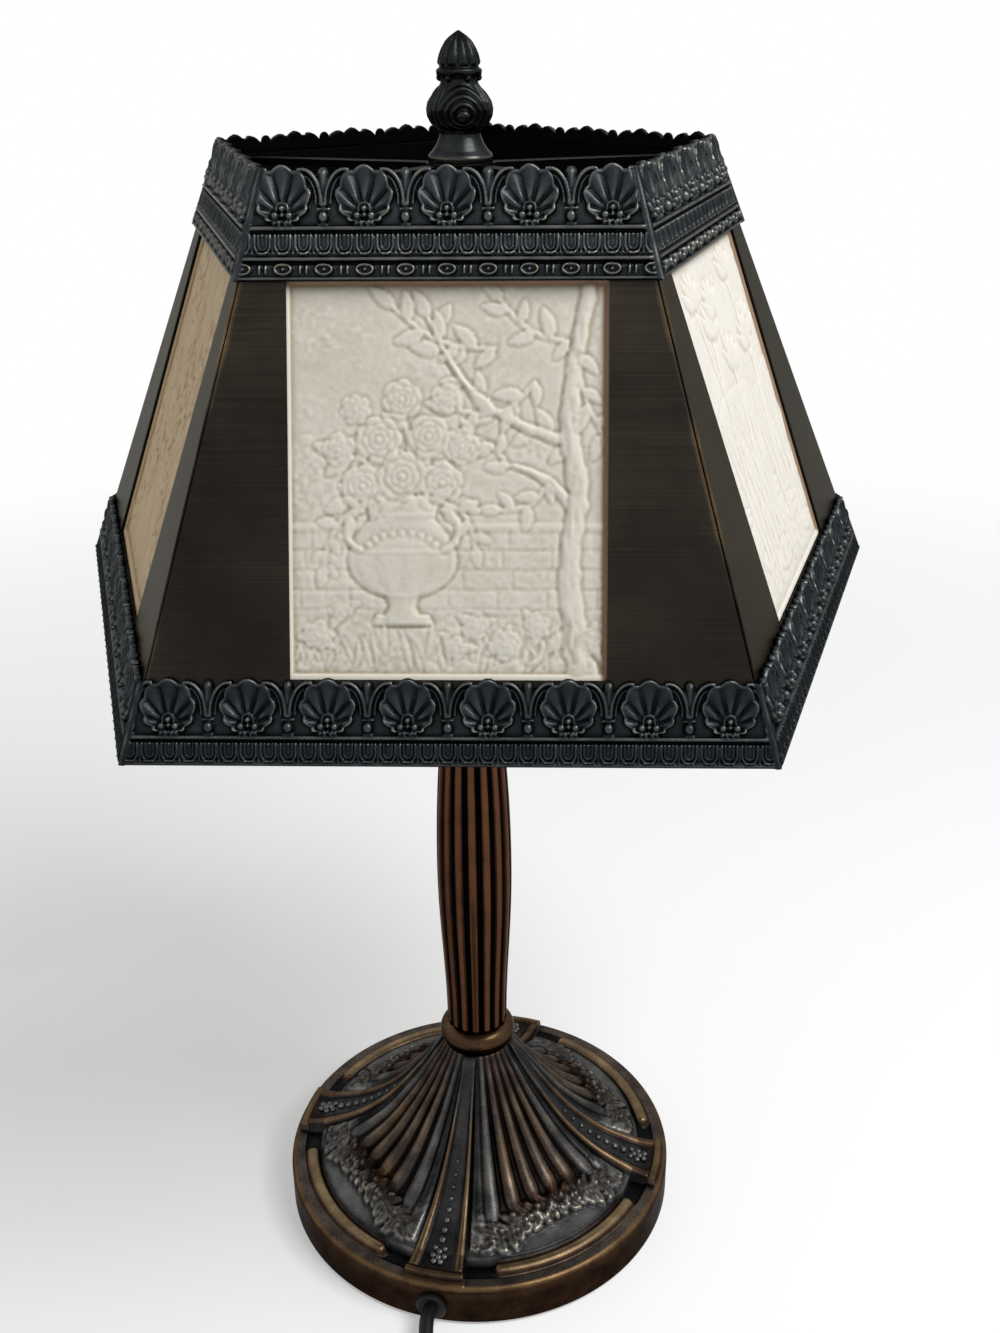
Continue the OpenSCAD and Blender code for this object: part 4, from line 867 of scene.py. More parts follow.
def plaque_piece(index, picture, step, material):
    """A porcelain plaque: its relief inside a plain border, a flat back and straight edges."""
    cols, rows = int(PLAQUE_W / step) + 1, int((PLAQUE_HEAD - PLAQUE_FOOT) / step) + 1
    U, V = np.meshgrid(np.linspace(-PLAQUE_W / 2, PLAQUE_W / 2, cols), np.linspace(PLAQUE_FOOT, PLAQUE_HEAD, rows))
    relief = Relief(U, V - (WINDOW_FOOT + 1.5), 7 + index)
    picture(relief)
    field = blurred(relief.h, 1)
    field = field + 0.05 * value_noise(U, V, 1.1, 50 + index) + 0.05 * value_noise(U, V, 4.3, 57 + index)
    low, high = np.percentile(field, 1), field.max()
    field = (np.clip(field, low, high) - high) * min(1.0, 1.35 / (high - low))
    inset = np.minimum(PLAQUE_W / 2 - 3.3 - np.abs(U), np.minimum(V - PLAQUE_FOOT - 5.2, PLAQUE_HEAD - 4.6 - V))
    field = np.where(inset > 0, field - 0.05, -0.3 * smooth(-1.2, 0, inset))
    # Painted shade in the hollows of the relief and a painted highlight on what stands out
    wear_and_shading = np.clip(0.58 + 1.3 * (field - blurred(field, 10)), 0, 1)
    # Painted shadow along the top and right edges of the window, where the sheet's edge shades the plaque
    window_shadow = 0.9 * smooth(2.9, 1.4, np.minimum(WINDOW_HEAD - V, (WINDOW_W / 2 - U) * 1.2))
    top = on_side(index, U, V, PLAQUE_FRONT + field).reshape(-1, 3)
    at = np.arange(U.size).reshape(rows, cols)
    faces = np.stack([at[:-1, :-1], at[:-1, 1:], at[1:, 1:], at[1:, :-1]], axis=-1).reshape(-1, 4).tolist()
    loop = np.concatenate([at[0], at[1:, -1], at[-1, -2::-1], at[-2:0:-1, 0]])
    back = U.size + np.arange(loop.size)
    behind = on_side(index, U.ravel()[loop], V.ravel()[loop], np.full(loop.size, PLAQUE_BACK))
    faces += np.stack([np.roll(loop, -1), loop, back, np.roll(back, -1)], axis=-1).tolist()
    faces.append(back[::-1].tolist())
    marks = {"wear_and_shading": np.concatenate([wear_and_shading.ravel(), np.full(loop.size, 0.5)]),
             "window_shadow": np.concatenate([window_shadow.ravel(), np.zeros(loop.size)])}
    new_piece(f"plaque_{SIDES[index]}_relief", np.concatenate([top, behind]), faces, material, "shade",
              [f"plaque_{SIDES[index]}"], marks, flat=loop.size + 1)


# Foot

def bell_z(r):
    """Height of the plain bell at a radius."""
    t = (r - NECK_R) / (BELL_R - NECK_R)
    return FOOT_Z + BELL_FOOT + BELL_RISE * (0.7 * (1 - t) ** 2.6 + 0.3 * (1 - t))


def bell_slope(r):
    t = (r - NECK_R) / (BELL_R - NECK_R)
    return -BELL_RISE / (BELL_R - NECK_R) * (0.7 * 2.6 * (1 - t) ** 1.6 + 0.3)


def strap_lip(side):
    """Round profile of the bead along each edge of a strap, from 0 to 1, by the angle from the strap's middle."""
    return np.sqrt(np.clip(1 - ((side - (STRAP_HALF - 1.5)) / 1.5) ** 2, 0, 1))


def garland(p, q):
    """Overlapping leaves and berries hung from strap to strap, with p along the rim and q outwards."""
    out = np.zeros_like(p)
    m = np.abs(p)
    gen = np.random.default_rng(17)
    low, sag, reach = 60.5, 9.5, 38
    for k in range(6):
        x = 5.6 * k
        y = low + sag * (x / reach) ** 2
        slope = math.atan(2 * sag * x / reach ** 2)
        for turn, length, width, rise in ((0.05, 12.0, 6.4, 1.6), (0.85, 9.6, 6.0, 1.9), (-0.8, 9.6, 6.0, 1.9)):
            turn = slope + turn + gen.uniform(-0.3, 0.3)
            length, rise = length * gen.uniform(0.8, 1.15), rise * gen.uniform(0.8, 1.2)
            c, s = math.cos(turn), math.sin(turn)
            a, b = (m - x) * c + (q - y) * s, -(m - x) * s + (q - y) * c
            t = np.clip(a / length, 0, 1)
            half = width / 2 * np.sin(math.pi * t ** 0.75) ** 0.6 * (1 + 0.12 * np.cos(a * 1.9))
            f = np.where((a > 0) & (a < length), np.abs(b) / np.maximum(half, 1e-3), 2)
            out = np.maximum(out, rise * np.sqrt(np.clip(1 - f ** 2, 0, 1)) - 0.4 * np.exp(-(b / 0.6) ** 2) * (f < 1))
        # Fruit and buds lie thickest in the middle
        for _ in range(max(1, 7 - 2 * k)):
            a, b = gen.uniform(-2.8, 2.8), gen.uniform(-3.6, 3.6)
            size = gen.uniform(1.7, 2.9) if k < 2 else gen.uniform(1.2, 2.0)
            out = highest(out, ball(m - x - 1.5 - a, q - y - b, size, 1.4 + 0.65 * size))
    # A scroll with a round eye closes it at each strap
    p, q = m - 41.2, q - 69.6
    return highest(out, ridge(np.hypot(p, q) - 1.9, 0.8, 1.6), ball(p, q, 1.1, 1.9))


def foot_field(angle, r):
    """Rise of the cast detail over the plain bell, its browning, and its extra rubbing with painted highlights and
    painted shade on the ridges, at an angle and a radius.
    """
    bay = (angle - FIRST_STRAP) % 90
    side = np.minimum(bay, 90 - bay)
    on_strap = side < STRAP_HALF
    # A strap is a sunk band between two round beads
    lip = strap_lip(side) * on_strap
    strap = on_strap * (1.3 + 1.5 * lip * smooth(16, 30, r)) * smooth(14.5, 16.5, r)
    # Ridges fan out over the bay, each ending in a round nose
    step = (90 - 2 * STRAP_HALF) / 7
    slot = (bay - STRAP_HALF) / step
    nearest = np.clip(np.round(slot), 1, 6)
    off = (slot - nearest) * step * math.pi / 180 * r
    out_r = 57 + 9 * (2 * nearest / 7 - 1) ** 2
    wide = 0.4 * step * math.pi / 180 * r
    nose = np.clip((r - (out_r - 8)) / 8, 0, None)
    rise = 1.1 + 1.4 * smooth(18, 34, r)
    crest = np.sqrt(np.clip(1 - (off / wide) ** 2 - nose ** 2, 0, 1)) * (~on_strap)
    fan = rise * crest * smooth(16, 20, r)
    # A ridge lies along each side of a strap
    beside = (side - STRAP_HALF) * math.pi / 180 * r
    bank = ridge(beside - 0.085 * r + 0.6, 0.06 * r, 0.75 * rise)
    bank = bank * smooth(16, 20, r) * smooth(73, 68, r) * (~on_strap)
    p = (bay - 45) * math.pi / 180 * r
    clear = (~on_strap) * smooth(9.5, 10.5, side) * smooth(74.5, 73, r)
    leaves = garland(p, r) * clear
    ground = smooth(50, 56, r) * smooth(70, 64, r) * clear * (fan < 0.1)
    rough = 0.22 * (value_noise(p, r, 1.6, 61) + 0.5 * value_noise(p, r, 0.8, 62)) * ground
    field = highest(strap, fan, bank * (fan < 0.2), leaves) + rough
    mottle = 0.5 + 0.5 * value_noise(p, r, 9.0, 63)
    inner = smooth(62, 54, r) * (~on_strap)
    warm = (0.85 * (lip > 0.3) * smooth(20, 34, r) + inner * smooth(14, 34, side) * (0.35 + 0.65 * mottle)
            + 0.4 * smooth(0.6, 1.8, leaves) * (0.4 + 0.6 * mottle))
    # The ridges: a bright line along each crest, partly rubbing and partly painted highlight, and painted shade black
    # between them
    streak = 0.6 + 0.8 * mottle
    sheen_and_shade = inner * (0.16 * streak * crest ** 9 - 0.1 * smooth(0.75, 0.1, crest) - 0.035 + 0.1 * (mottle - 0.5))
    sheen_and_shade = sheen_and_shade - 0.08 * (leaves > 0.2)
    return field, warm, sheen_and_shade


def foot_mesh(columns):
    """Points, faces, rubbing and browning of the whole casting, with painted highlights and shade on its ridges:
    patterned outside, plain hollow inside.
    """
    angles = np.linspace(0, 360, columns, endpoint=False)
    # Two columns stand close together at each side of a strap, and none is near them
    sharp = np.mod([FIRST_STRAP + 90 * k + side * STRAP_HALF + off
                    for k in range(4) for side in (-1, 1) for off in (-0.07, 0.07)], 360)
    angles = np.unique(np.concatenate([angles, sharp]))
    near = np.abs((sharp - angles[:, None] + 180) % 360 - 180).min(axis=1)
    angles = angles[(near < 1e-6) | (near > 0.2)]

    rows = []
    # Outside of the bell, evenly spaced along its slope
    fine = np.linspace(NECK_R, BELL_R, 2000)
    run = np.concatenate([[0], np.cumsum(np.hypot(np.diff(fine), np.diff(bell_z(fine))))])
    for r in np.interp(np.linspace(0, run[-1], 108), run, fine):
        slope = bell_slope(r)
        size = math.hypot(1, slope)
        rows.append((r, bell_z(r), -slope / size, 1 / size, "bell"))
    channel = [(75.25, 0.1), *((r, 0) for r in np.arange(75.8, 81.7, 0.5)), (81.9, 0.1), (82.4, 0.5)]
    rows += [(r, CHANNEL_Z + lift, 0, 1, "channel") for r, lift in channel]
    rows.append((82.8, LEDGE_Z - 0.15, 0, 1, "ledge"))
    for r in (83.2, 83.7, 84.2, 84.7, 85.2, 85.7, 86.2, 86.7):
        z = LEDGE_Z if r <= ROUND_R else ROUND_Z + math.sqrt(ROUND ** 2 - (r - ROUND_R) ** 2)
        rows.append((r, z, 0, 1, "ledge"))
    for a in (math.radians(degrees) for degrees in (68, 58, 46, 34, 22, 10, 0)):
        rows.append((ROUND_R + ROUND * math.cos(a), ROUND_Z + ROUND * math.sin(a), 0, 0, "round"))
    rows += [(RIM_R, z, 0, 0, "side") for z in (13.5, 9.0, 5.5, 2.6, 1.9)]
    rows += [(r, FOOT_Z, 0, 0, "under") for r in (88.6, 85.2)]
    # Inside of the hollow, then up the pipe's bore and out over the neck
    rows += [(HOLLOW_R, z, 0, 0, "in") for z in (1.9, 15.2)]
    rows += [(r, min(bell_z(r + 4) - 4, HOLLOW_Z), 0, 0, "in") for r in (71, 60, 50, 40, 30, 22, 18)]
    rows += [(r, HOLLOW_Z, 0, 0, "in") for r in (17, PIPE_R)]
    rows += [(r, NECK_Z, 0, 0, "top") for r in (PIPE_R, 12, 14.6)]

    A = np.radians(angles)[None, :]
    R0, Z0, NR, NZ = (np.array([row[k] for row in rows])[:, None] + 0 * A for k in range(4))
    kinds = np.array([row[4] for row in rows])[:, None]
    bell, in_channel, ledge, rounded, rim, top = (
        kinds == kind for kind in ("bell", "channel", "ledge", "round", "side", "top"))
    degrees = np.degrees(A) + 0 * R0
    bay = (degrees - FIRST_STRAP) % 90
    side = np.minimum(bay, 90 - bay)
    on_strap = side < STRAP_HALF
    field, warm, sheen_and_shade = foot_field(degrees, R0)
    field, warm = field * bell, warm * bell
    # The roll in the channel stops short of the straps and thins out at its ends
    rho = 3.8 * smooth(17.0, 19.5, side) ** 0.5
    roll = np.sqrt(np.clip(rho ** 2 - (R0 - ROLL_R) ** 2, 0, None)) + CHANNEL_Z - Z0
    on_roll = in_channel & (np.abs(R0 - ROLL_R) < rho)
    field = np.where(on_roll, np.maximum(roll, 0), field)
    # Straps bridge the channel and curl over the ledge
    across = np.interp(R0, [75, 80.8, 82.6, 86.8], [24.3, 23.4, 23.2, 22.2])
    curl = np.where(np.abs(R0 - 84.6) < 2.25, 22.5 + np.sqrt(np.clip(2.2 ** 2 - (R0 - 84.6) ** 2, 0, None)), 0)
    raised = 1.3 * strap_lip(side) * (R0 < 82.6)
    bridge = np.maximum(across + raised, curl) - Z0
    bridged = (in_channel | ledge) & (R0 < 86.75) & on_strap
    even = np.where(bridged, field[np.flatnonzero(bell)[-1]], field)
    field = np.where(bridged, bridge, field)
    R = R0 + NR * field * smooth(BELL_R, 71, R0)
    Z = Z0 + NZ * field
    wear_and_shading = rubbed(even, 6, 0.42, True) + bell * (sheen_and_shade + 0.14 * smooth(54, 64, R0) * ~on_strap)
    wear_and_shading = np.where(on_roll, 0.46 + 0.32 * smooth(2.0, 3.8, roll), wear_and_shading)
    wear_and_shading = np.where(in_channel & ~on_roll & ~on_strap, 0.34, wear_and_shading)
    wear_and_shading = np.where(ledge & ~on_strap, 0.48 + 0.12 * smooth(8.7, 11.5, side), wear_and_shading)
    wear_and_shading = np.where(bridged, 0.4 + 0.26 * smooth(23.2, 24.6, curl) + 0.2 * (raised > 0.5), wear_and_shading)
    wear_and_shading = np.where(rounded, 0.5 + 0.16 * smooth(86.4, 87.4, R0) * smooth(89.0, 88.2, R0), wear_and_shading)
    wear_and_shading = np.where(rim, 0.4, wear_and_shading)
    warm = np.where(ledge & ~on_strap, 0.45, np.where(on_roll, 0.85, warm))
    warm = np.where(bridged, np.where((R0 < 81.6) & (raised < 0.4), 0.1, 0.9), warm)
    warm = np.where(rounded | rim | top, 1.0, warm)
    points = np.stack([R * np.cos(A), R * np.sin(A), Z], axis=-1) * MM
    # The last row joins the first one again
    faces = [[k % R.size for k in face] for face in wrapped_faces(len(rows) + 1, angles.size)]
    return points.reshape(-1, 3), faces, {"wear_and_shading": np.clip(wear_and_shading, 0, 1).ravel(), "warm": np.clip(warm, 0, 1).ravel()}


def strap_beads():
    """Places, sizes and turns of the beads along each strap, growing towards the rim."""
    row = [(69.0 - 4.0 * n, 0.0, 1.75 - 0.13 * n) for n in range(8)]
    row += [(76.6 + 2.6 * math.cos(t), 2.6 * math.sin(t), 1.5) for t in (0.6, 1.9, 3.14, 4.4, 5.7)]
    row += [(76.6, 0.0, 1.6), (72.6, 2.1, 1.3), (72.6, -2.1, 1.3)]
    at, size, turn = [], [], []
    for a in (math.radians(FIRST_STRAP + 90 * k) for k in range(4)):
        c, s = math.cos(a), math.sin(a)
        for r, aside, wide in row:
            lean, z = -0.15, 24.1
            if r < BELL_R:
                lean = math.atan(bell_slope(r))
                z = bell_z(r) + 1.4 / math.cos(lean)
            at.append(((r * c - aside * s) * MM, (r * s + aside * c) * MM, z * MM))
            size.append((wide * 1.05 * MM, wide * 0.95 * MM, wide * 0.85 * MM))
            turn.append((0.0, -lean, a))
    return at, {"size": size, "turn": turn}


def finial_mesh(columns, rows):
    """Fluted bud on a scalloped collar, a bulge with arched ribs round three knobs, and a smooth bell foot."""
    stations = np.array([
        (0, 10.9), (0.012, 11.3), (0.05, 11.3), (0.066, 10.9), (0.1, 9.5), (0.15, 8.1), (0.2, 7.2), (0.23, 6.9),
        (0.255, 7.4), (0.3, 9.2), (0.36, 10.4), (0.417, 10.7), (0.47, 10.1), (0.53, 8.5), (0.57, 7.2), (0.61, 6.4),
        (0.64, 6.3), (0.68, 6.9), (0.705, 7.0), (0.73, 6.6), (0.77, 6.7), (0.82, 6.2), (0.87, 5.3), (0.92, 4.0),
        (0.96, 2.5), (0.985, 1.3), (1.0, 0.3)])
    run = np.concatenate([[0], np.cumsum(np.hypot(np.diff(stations[:, 0]) * FINIAL_H, np.diff(stations[:, 1])))])
    at = np.linspace(0, run[-1], rows)
    share, radius = np.interp(at, run, stations[:, 0]), np.interp(at, run, stations[:, 1])
    kernel = np.array([1, 3, 4, 3, 1]) / 12
    inner = radius.copy()
    inner[2:-2] = np.convolve(radius, kernel, "valid")
    A = np.linspace(0, 2 * math.pi, columns, endpoint=False)[None, :]
    T, R = share[:, None] + 0 * A, inner[:, None] + 0 * A
    z = T * FINIAL_H
    phi = A + 0 * T
    out = np.zeros_like(T)
    # Arched ribs rise round a knob, three times round the bulge
    for k in range(3):
        turn = (phi + math.radians(80 - 120 * k) + math.pi) % (2 * math.pi) - math.pi
        x, y = turn * 9.5, z - 15.0
        d = np.hypot(x, np.where(y > 0, y * 0.85, y * 1.3))
        bulge = smooth(0.24, 0.3, T) * smooth(0.63, 0.56, T) * (np.abs(turn) < math.pi / 3)
        rings = 0.85 * np.abs(np.cos(math.pi * (d - 3.5) / 2.1)) ** 1.2 * smooth(2.4, 3.1, d) * smooth(9.4, 8.6, d)
        rings = rings * (0.3 + 0.7 * smooth(-5.5, -1.0, y))
        knob = ball(x, y, 2.2, 1.6)
        # Upright ribs stand between one motif and the next
        aside = (math.pi / 3 - np.abs(turn)) * 9.5
        upright = highest(ridge(aside, 0.8, 0.8), ridge(aside - 1.8, 0.65, 0.6)) * smooth(7.4, 9.2, d)
        out = np.maximum(out, (rings + knob + upright) * bulge)
    # Collar of round leaves with small knobs between them
    lobes = np.abs(np.cos(3 * phi + math.pi / 2))
    hem = 27.2 + 1.7 * lobes
    collar = 0.8 * smooth(hem - 1.0, hem, z) * smooth(30.4, 29.4, z)
    out = out + collar
    for k in range(6):
        turn = (phi + math.pi / 2 - k * math.pi / 3 - math.pi / 6 + math.pi) % (2 * math.pi) - math.pi
        out = np.maximum(out, ball(turn * 7.0, z - 26.8, 1.0, 1.3))
    # Ribs of the bud
    ribs = np.abs(np.cos(5 * phi)) ** 0.9
    out = out + (0.95 * ribs - 0.35) * smooth(0.735, 0.76, T) * smooth(0.995, 0.93, T)
    R = R + out
    # The foot flange and the lower bell are painted lighter, as a painted highlight
    wear_and_shading = rubbed(out, 6, 0.45, True) + 0.15 * smooth(0.075, 0.05, T) + 0.08 * smooth(0.24, 0.15, T)
    points = np.stack([R * np.cos(phi), R * np.sin(phi), FINIAL_Z + z], axis=-1)
    # Bore for the stud, then the top's pole
    bore = np.stack([STUD_R * np.cos(A), STUD_R * np.sin(A), FINIAL_Z + 0 * A], axis=-1)
    deep = bore + [0, 0, STUD_DEPTH]
    ground = points[:1].copy()
    ground[..., 2] = FINIAL_Z
    stack = np.concatenate([deep, bore, ground, points])
    total = stack.shape[0]
    faces = [face[::-1] for face in wrapped_faces(total, columns)]
    points = stack.reshape(-1, 3).tolist() + [[0, 0, FINIAL_Z + STUD_DEPTH], [0, 0, FINIAL_Z + FINIAL_H]]
    last = (total - 1) * columns
    for j in range(columns):
        k = (j + 1) % columns
        faces += [[total * columns, k, j], [total * columns + 1, last + j, last + k]]
    marks = np.concatenate([np.full(3 * columns, 0.4), np.clip(wear_and_shading, 0, 1).ravel(), [0.4, 0.6]])
    return np.array(points) * MM, faces, {"wear_and_shading": marks}


# Node trees

def new_tree(name, inputs):
    """A geometry node tree with named inputs, given as a kind and a default, and the outputs of its input node."""
    tree = bpy.data.node_groups.new(name, "GeometryNodeTree")
    for title, (kind, default) in inputs.items():
        made = tree.interface.new_socket(name=title, in_out="INPUT", socket_type=f"NodeSocket{kind}")
        if default is not None:
            made.default_value = default
    tree.interface.new_socket(name="Geometry", in_out="OUTPUT", socket_type="NodeSocketGeometry")
    return tree, add_node(tree, "NodeGroupInput").outputs


def wear_and_shading_at(tree, geometry, value):
    """The geometry with a value at each of its points for its rubbing and its painted highlight and shade."""
    return add_node(tree, "GeometryNodeStoreNamedAttribute", {"Geometry": geometry, "Name": "wear_and_shading", "Value": value},
                    data_type="FLOAT", domain="POINT").outputs[0]


def column_tree():
    """A fluted shaft with a swelling: a grid wrapped round, its radius eased along the height, cut by flutes."""
    sizes = {name: ("Float", size * MM) for name, size in COLUMN.items()}
    tree, given = new_tree("Fluted column", {
        **sizes, "Rings": ("Int", 96), "Points round": ("Int", 241), "Flutes": ("Int", 16),
        "Flute depth": ("Float", 0.0015), "Finish": ("Material", None)})

    def do(*values, **settings):
        return calc(tree, *values, **settings)

    grid = add_node(tree, "GeometryNodeMeshGrid", {
        "Size X": 1.0, "Size Y": 1.0, "Vertices X": given["Points round"], "Vertices Y": given["Rings"]})
    position = add_node(tree, "GeometryNodeInputPosition").outputs[0]
    at = add_node(tree, "ShaderNodeSeparateXYZ", {"Vector": position}).outputs
    angle = do("MULTIPLY_ADD", at["X"], 2 * math.pi, math.pi)
    last = do("SUBTRACT", given["Rings"], 1.0)
    row = do("ROUND", do("MULTIPLY", do("ADD", at["Y"], 0.5), last))
    # Rows 1 to last - 2 are the outside; row 0 is the bore's foot, and the last two go down the bore again
    share = do("DIVIDE", do("SUBTRACT", row, 1.0), do("SUBTRACT", last, 3.0), clamp=True)
    is_foot = do("LESS_THAN", row, 0.5)
    is_top = do("GREATER_THAN", row, do("SUBTRACT", last, 1.5))
    is_last = do("GREATER_THAN", row, do("SUBTRACT", last, 0.5))
    height = do("MULTIPLY", share, given["Height"])
    rise = do("DIVIDE", height, given["Belly height"], clamp=True)
    swell = do("POWER", do("SINE", do("MULTIPLY", rise, math.pi / 2)), 2.0)
    fall = do("DIVIDE", do("SUBTRACT", height, given["Belly height"]),
              do("SUBTRACT", given["Height"], given["Belly height"]), clamp=True)
    bulge = do("SUBTRACT", given["Belly radius"], given["Foot radius"])
    lower = do("MULTIPLY_ADD", bulge, swell, given["Foot radius"])
    taper = do("SUBTRACT", given["Belly radius"], given["Top radius"])
    upper = do("MULTIPLY", taper, do("POWER", fall, 2.0))
    wave = do("ABSOLUTE", do("COSINE", do("MULTIPLY", do("MULTIPLY", angle, given["Flutes"]), 0.5)))
    crest = span(tree, wave, 0.0, 1.0, 0.16, 0.74, interpolation_type="SMOOTHSTEP")
    cut = do("MULTIPLY", do("SUBTRACT", 1.0, crest), given["Flute depth"])
    round_top = do("MULTIPLY", do("SUBTRACT", wave, 1.0), 0.0005)
    outer = do("ADD", do("SUBTRACT", do("SUBTRACT", lower, upper), cut), round_top)
    hidden = do("MAXIMUM", is_foot, is_top)
    in_bore = do("MULTIPLY", given["Bore radius"], hidden)
    radius = do("ADD", do("MULTIPLY", outer, do("SUBTRACT", 1.0, hidden)), in_bore)
    z = do("ADD", do("MULTIPLY", height, do("SUBTRACT", 1.0, is_last)), given["Foot height"])
    place = add_node(tree, "ShaderNodeCombineXYZ", {
        "X": do("MULTIPLY", radius, do("COSINE", angle)), "Y": do("MULTIPLY", radius, do("SINE", angle)), "Z": z})
    # Each reed gets a painted highlight along its middle
    middle = span(tree, wave, 0.6, 1.0, 0.45, 0.98, interpolation_type="SMOOTHSTEP")
    worn = wear_and_shading_at(tree, grid.outputs["Mesh"], do("MULTIPLY", crest, middle))
    moved = add_node(tree, "GeometryNodeSetPosition", {"Geometry": worn, "Position": place.outputs[0]})
    joined = add_node(tree, "GeometryNodeMergeByDistance", {"Geometry": moved.outputs[0], "Distance": 0.000002})
    real = add_node(tree, "GeometryNodeRealizeInstances", {"Geometry": joined.outputs[0]})
    dressed = add_node(tree, "GeometryNodeSetMaterial", {"Geometry": real.outputs[0], "Material": given["Finish"]})
    add_node(tree, "NodeGroupOutput", {"Geometry": dressed.outputs[0]})
    return tree


def bead_tree():
    """Beads on the points of a guide, each as large as its own size attribute."""
    tree, given = new_tree("Strap beads", {
        "Geometry": ("Geometry", None), "Bead scale": ("Float", 1.0), "Rings": ("Int", 12),
        "Finish": ("Material", None)})
    bead = add_node(tree, "GeometryNodeMeshUVSphere", {"Segments": 20, "Rings": given["Rings"], "Radius": 1.0})
    size, turn = (
        add_node(tree, "GeometryNodeInputNamedAttribute", {"Name": name},
                 data_type="FLOAT_VECTOR").outputs["Attribute"] for name in ("size", "turn"))
    scaled = add_node(tree, "ShaderNodeVectorMath", {0: size, "Scale": given["Bead scale"]}, operation="SCALE")
    placed = add_node(tree, "GeometryNodeInstanceOnPoints", {
        "Points": given["Geometry"], "Instance": bead.outputs["Mesh"], "Scale": scaled.outputs[0], "Rotation": turn})
    real = add_node(tree, "GeometryNodeRealizeInstances", {"Geometry": placed.outputs[0]})
    soft = add_node(tree, "GeometryNodeSetShadeSmooth", {"Geometry": real.outputs[0]})
    worn = wear_and_shading_at(tree, soft.outputs[0], 0.68)
    dressed = add_node(tree, "GeometryNodeSetMaterial", {"Geometry": worn, "Material": given["Finish"]})
    add_node(tree, "NodeGroupOutput", {"Geometry": dressed.outputs[0]})
    return tree


# Cord

def coil_point(k):
    """A point of the coil: inwards over the lower layer, up, and outwards again over the upper one."""
    turn = k / COIL_STEPS
    r = COIL_R - COIL_PITCH * min(turn, COIL_TURNS - turn)
    rise = (1 - math.cos(math.pi * max(0, min(1, 2 * (turn - COIL_TURNS / 2) + 0.5)))) / 2
    a = COIL_START + 2 * math.pi * turn
    return Vector((COIL_X + r * math.cos(a), COIL_Y + r * math.sin(a), COIL_Z + COIL_PITCH * rise))


def cord_route():
    """From the rim down to the table, round the coil, and off it to the plug."""
    away = Vector((math.cos(math.radians(FIRST_STRAP)), math.sin(math.radians(FIRST_STRAP)), 0))
    exit_at = away * CORD_EXIT_R + Vector((0, 0, CORD_EXIT_Z))
    heading = Vector((-math.sin(COIL_START), math.cos(COIL_START), 0))
    low, high = coil_point(0), coil_point(0) + Vector((0, 0, COIL_PITCH))
    plug = Vector((-76, -196, 7.2))
    lead = [exit_at, exit_at + away * CORD_STEP, Vector((-18.4, -103.5, 7.6)), Vector((-17.6, -112, 4.8)),
            Vector((-19.6, -120.6, 3.6)), Vector((-27.8, -131, 3.5)), low - 2 * CORD_STEP * heading,
            low - CORD_STEP * heading]
    tail = [high + CORD_STEP * heading, high + 2 * CORD_STEP * heading, Vector((-63, -173.5, 9.4)),
            plug - CORD_STEP * heading, plug]
    coil = [coil_point(k) for k in range(COIL_TURNS * COIL_STEPS + 1)]
    return [Vector(p) * MM for p in [*eased(lead, 4), *coil, *eased(tail, 4)]]


# Settings

def number_setting(name, about, default, low, high):
    return bpy.props.FloatProperty(name=name, description=about, default=default, min=low, max=high)


def count_setting(name, about, default, low, high):
    return bpy.props.IntProperty(name=name, description=about, default=default, min=low, max=high)


class LampStageSettings(bpy.types.PropertyGroup):
    lens: number_setting("Lens", "Focal length of the camera", 38.03, 10, 200)
    key: bpy.props.FloatProperty(
        name="Key light", description="Power of the large soft lamp", default=17.4, min=0, unit="POWER")
    world: number_setting("Room light", "Strength of the even light all round", 0.26, 0, 2)


class LampCordSettings(bpy.types.PropertyGroup):
    diameter: bpy.props.FloatProperty(
        name="Diameter", description="Diameter of the cord", default=0.0062, unit="LENGTH")
    facets: count_setting("Facets", "Smoothness of the cord's section", 3, 1, 8)


class LampFootSettings(bpy.types.PropertyGroup):
    columns: count_setting("Columns", "Points round the casting", 600, 64, 1200)
    bead_scale: number_setting("Bead scale", "Size of the beads on the straps", 1.0, 0.2, 2)


class LampColumnSettings(bpy.types.PropertyGroup):
    flutes: count_setting("Flutes", "Flutes round the column", 16, 8, 24)
    flute_depth: bpy.props.FloatProperty(
        name="Flute depth", description="Depth of a flute", default=0.0015, unit="LENGTH")


class LampShadeSettings(bpy.types.PropertyGroup):
    front_step: number_setting("Front grid", "Grid of the front bands in millimetres", 0.32, 0.2, 2)
    side_step: number_setting("Side grid", "Grid of the other bands in millimetres", 0.36, 0.2, 2)
    plaque_step: number_setting("Plaque grid", "Grid of the front plaque in millimetres", 0.45, 0.2, 2)
    ivory: bpy.props.FloatVectorProperty(
        name="Porcelain", description="Colour of the unglazed porcelain", subtype="COLOR", size=4, min=0.0, max=1.0,
        default=colour("#ece6d8"))


# Stage

def place_camera(lens):
    """The photograph's own camera, as solved from the shade's corners."""
    tilt, yaw, roll = 0.43988, 0.03097, -0.0095
    place = (0.0278, -0.5131, 0.5108)
    turn = Matrix.Rotation(yaw, 3, "Z")
    forward = turn @ Vector((0, math.cos(tilt), -math.sin(tilt)))
    right, up = turn @ Vector((1, 0, 0)), turn @ Vector((0, math.sin(tilt), math.cos(tilt)))
    across = math.cos(roll) * right + math.sin(roll) * up
    upright = -math.sin(roll) * right + math.cos(roll) * up
    data = bpy.data.cameras.new("camera")
    data.lens, data.sensor_width, data.sensor_fit = lens, 36, "AUTO"
    data.clip_start, data.clip_end = 0.01, 50
    camera = put("camera", data)
    camera.matrix_world = Matrix((*zip(across, upright, -forward, place), (0, 0, 0, 1)))
    bpy.context.scene.camera = camera


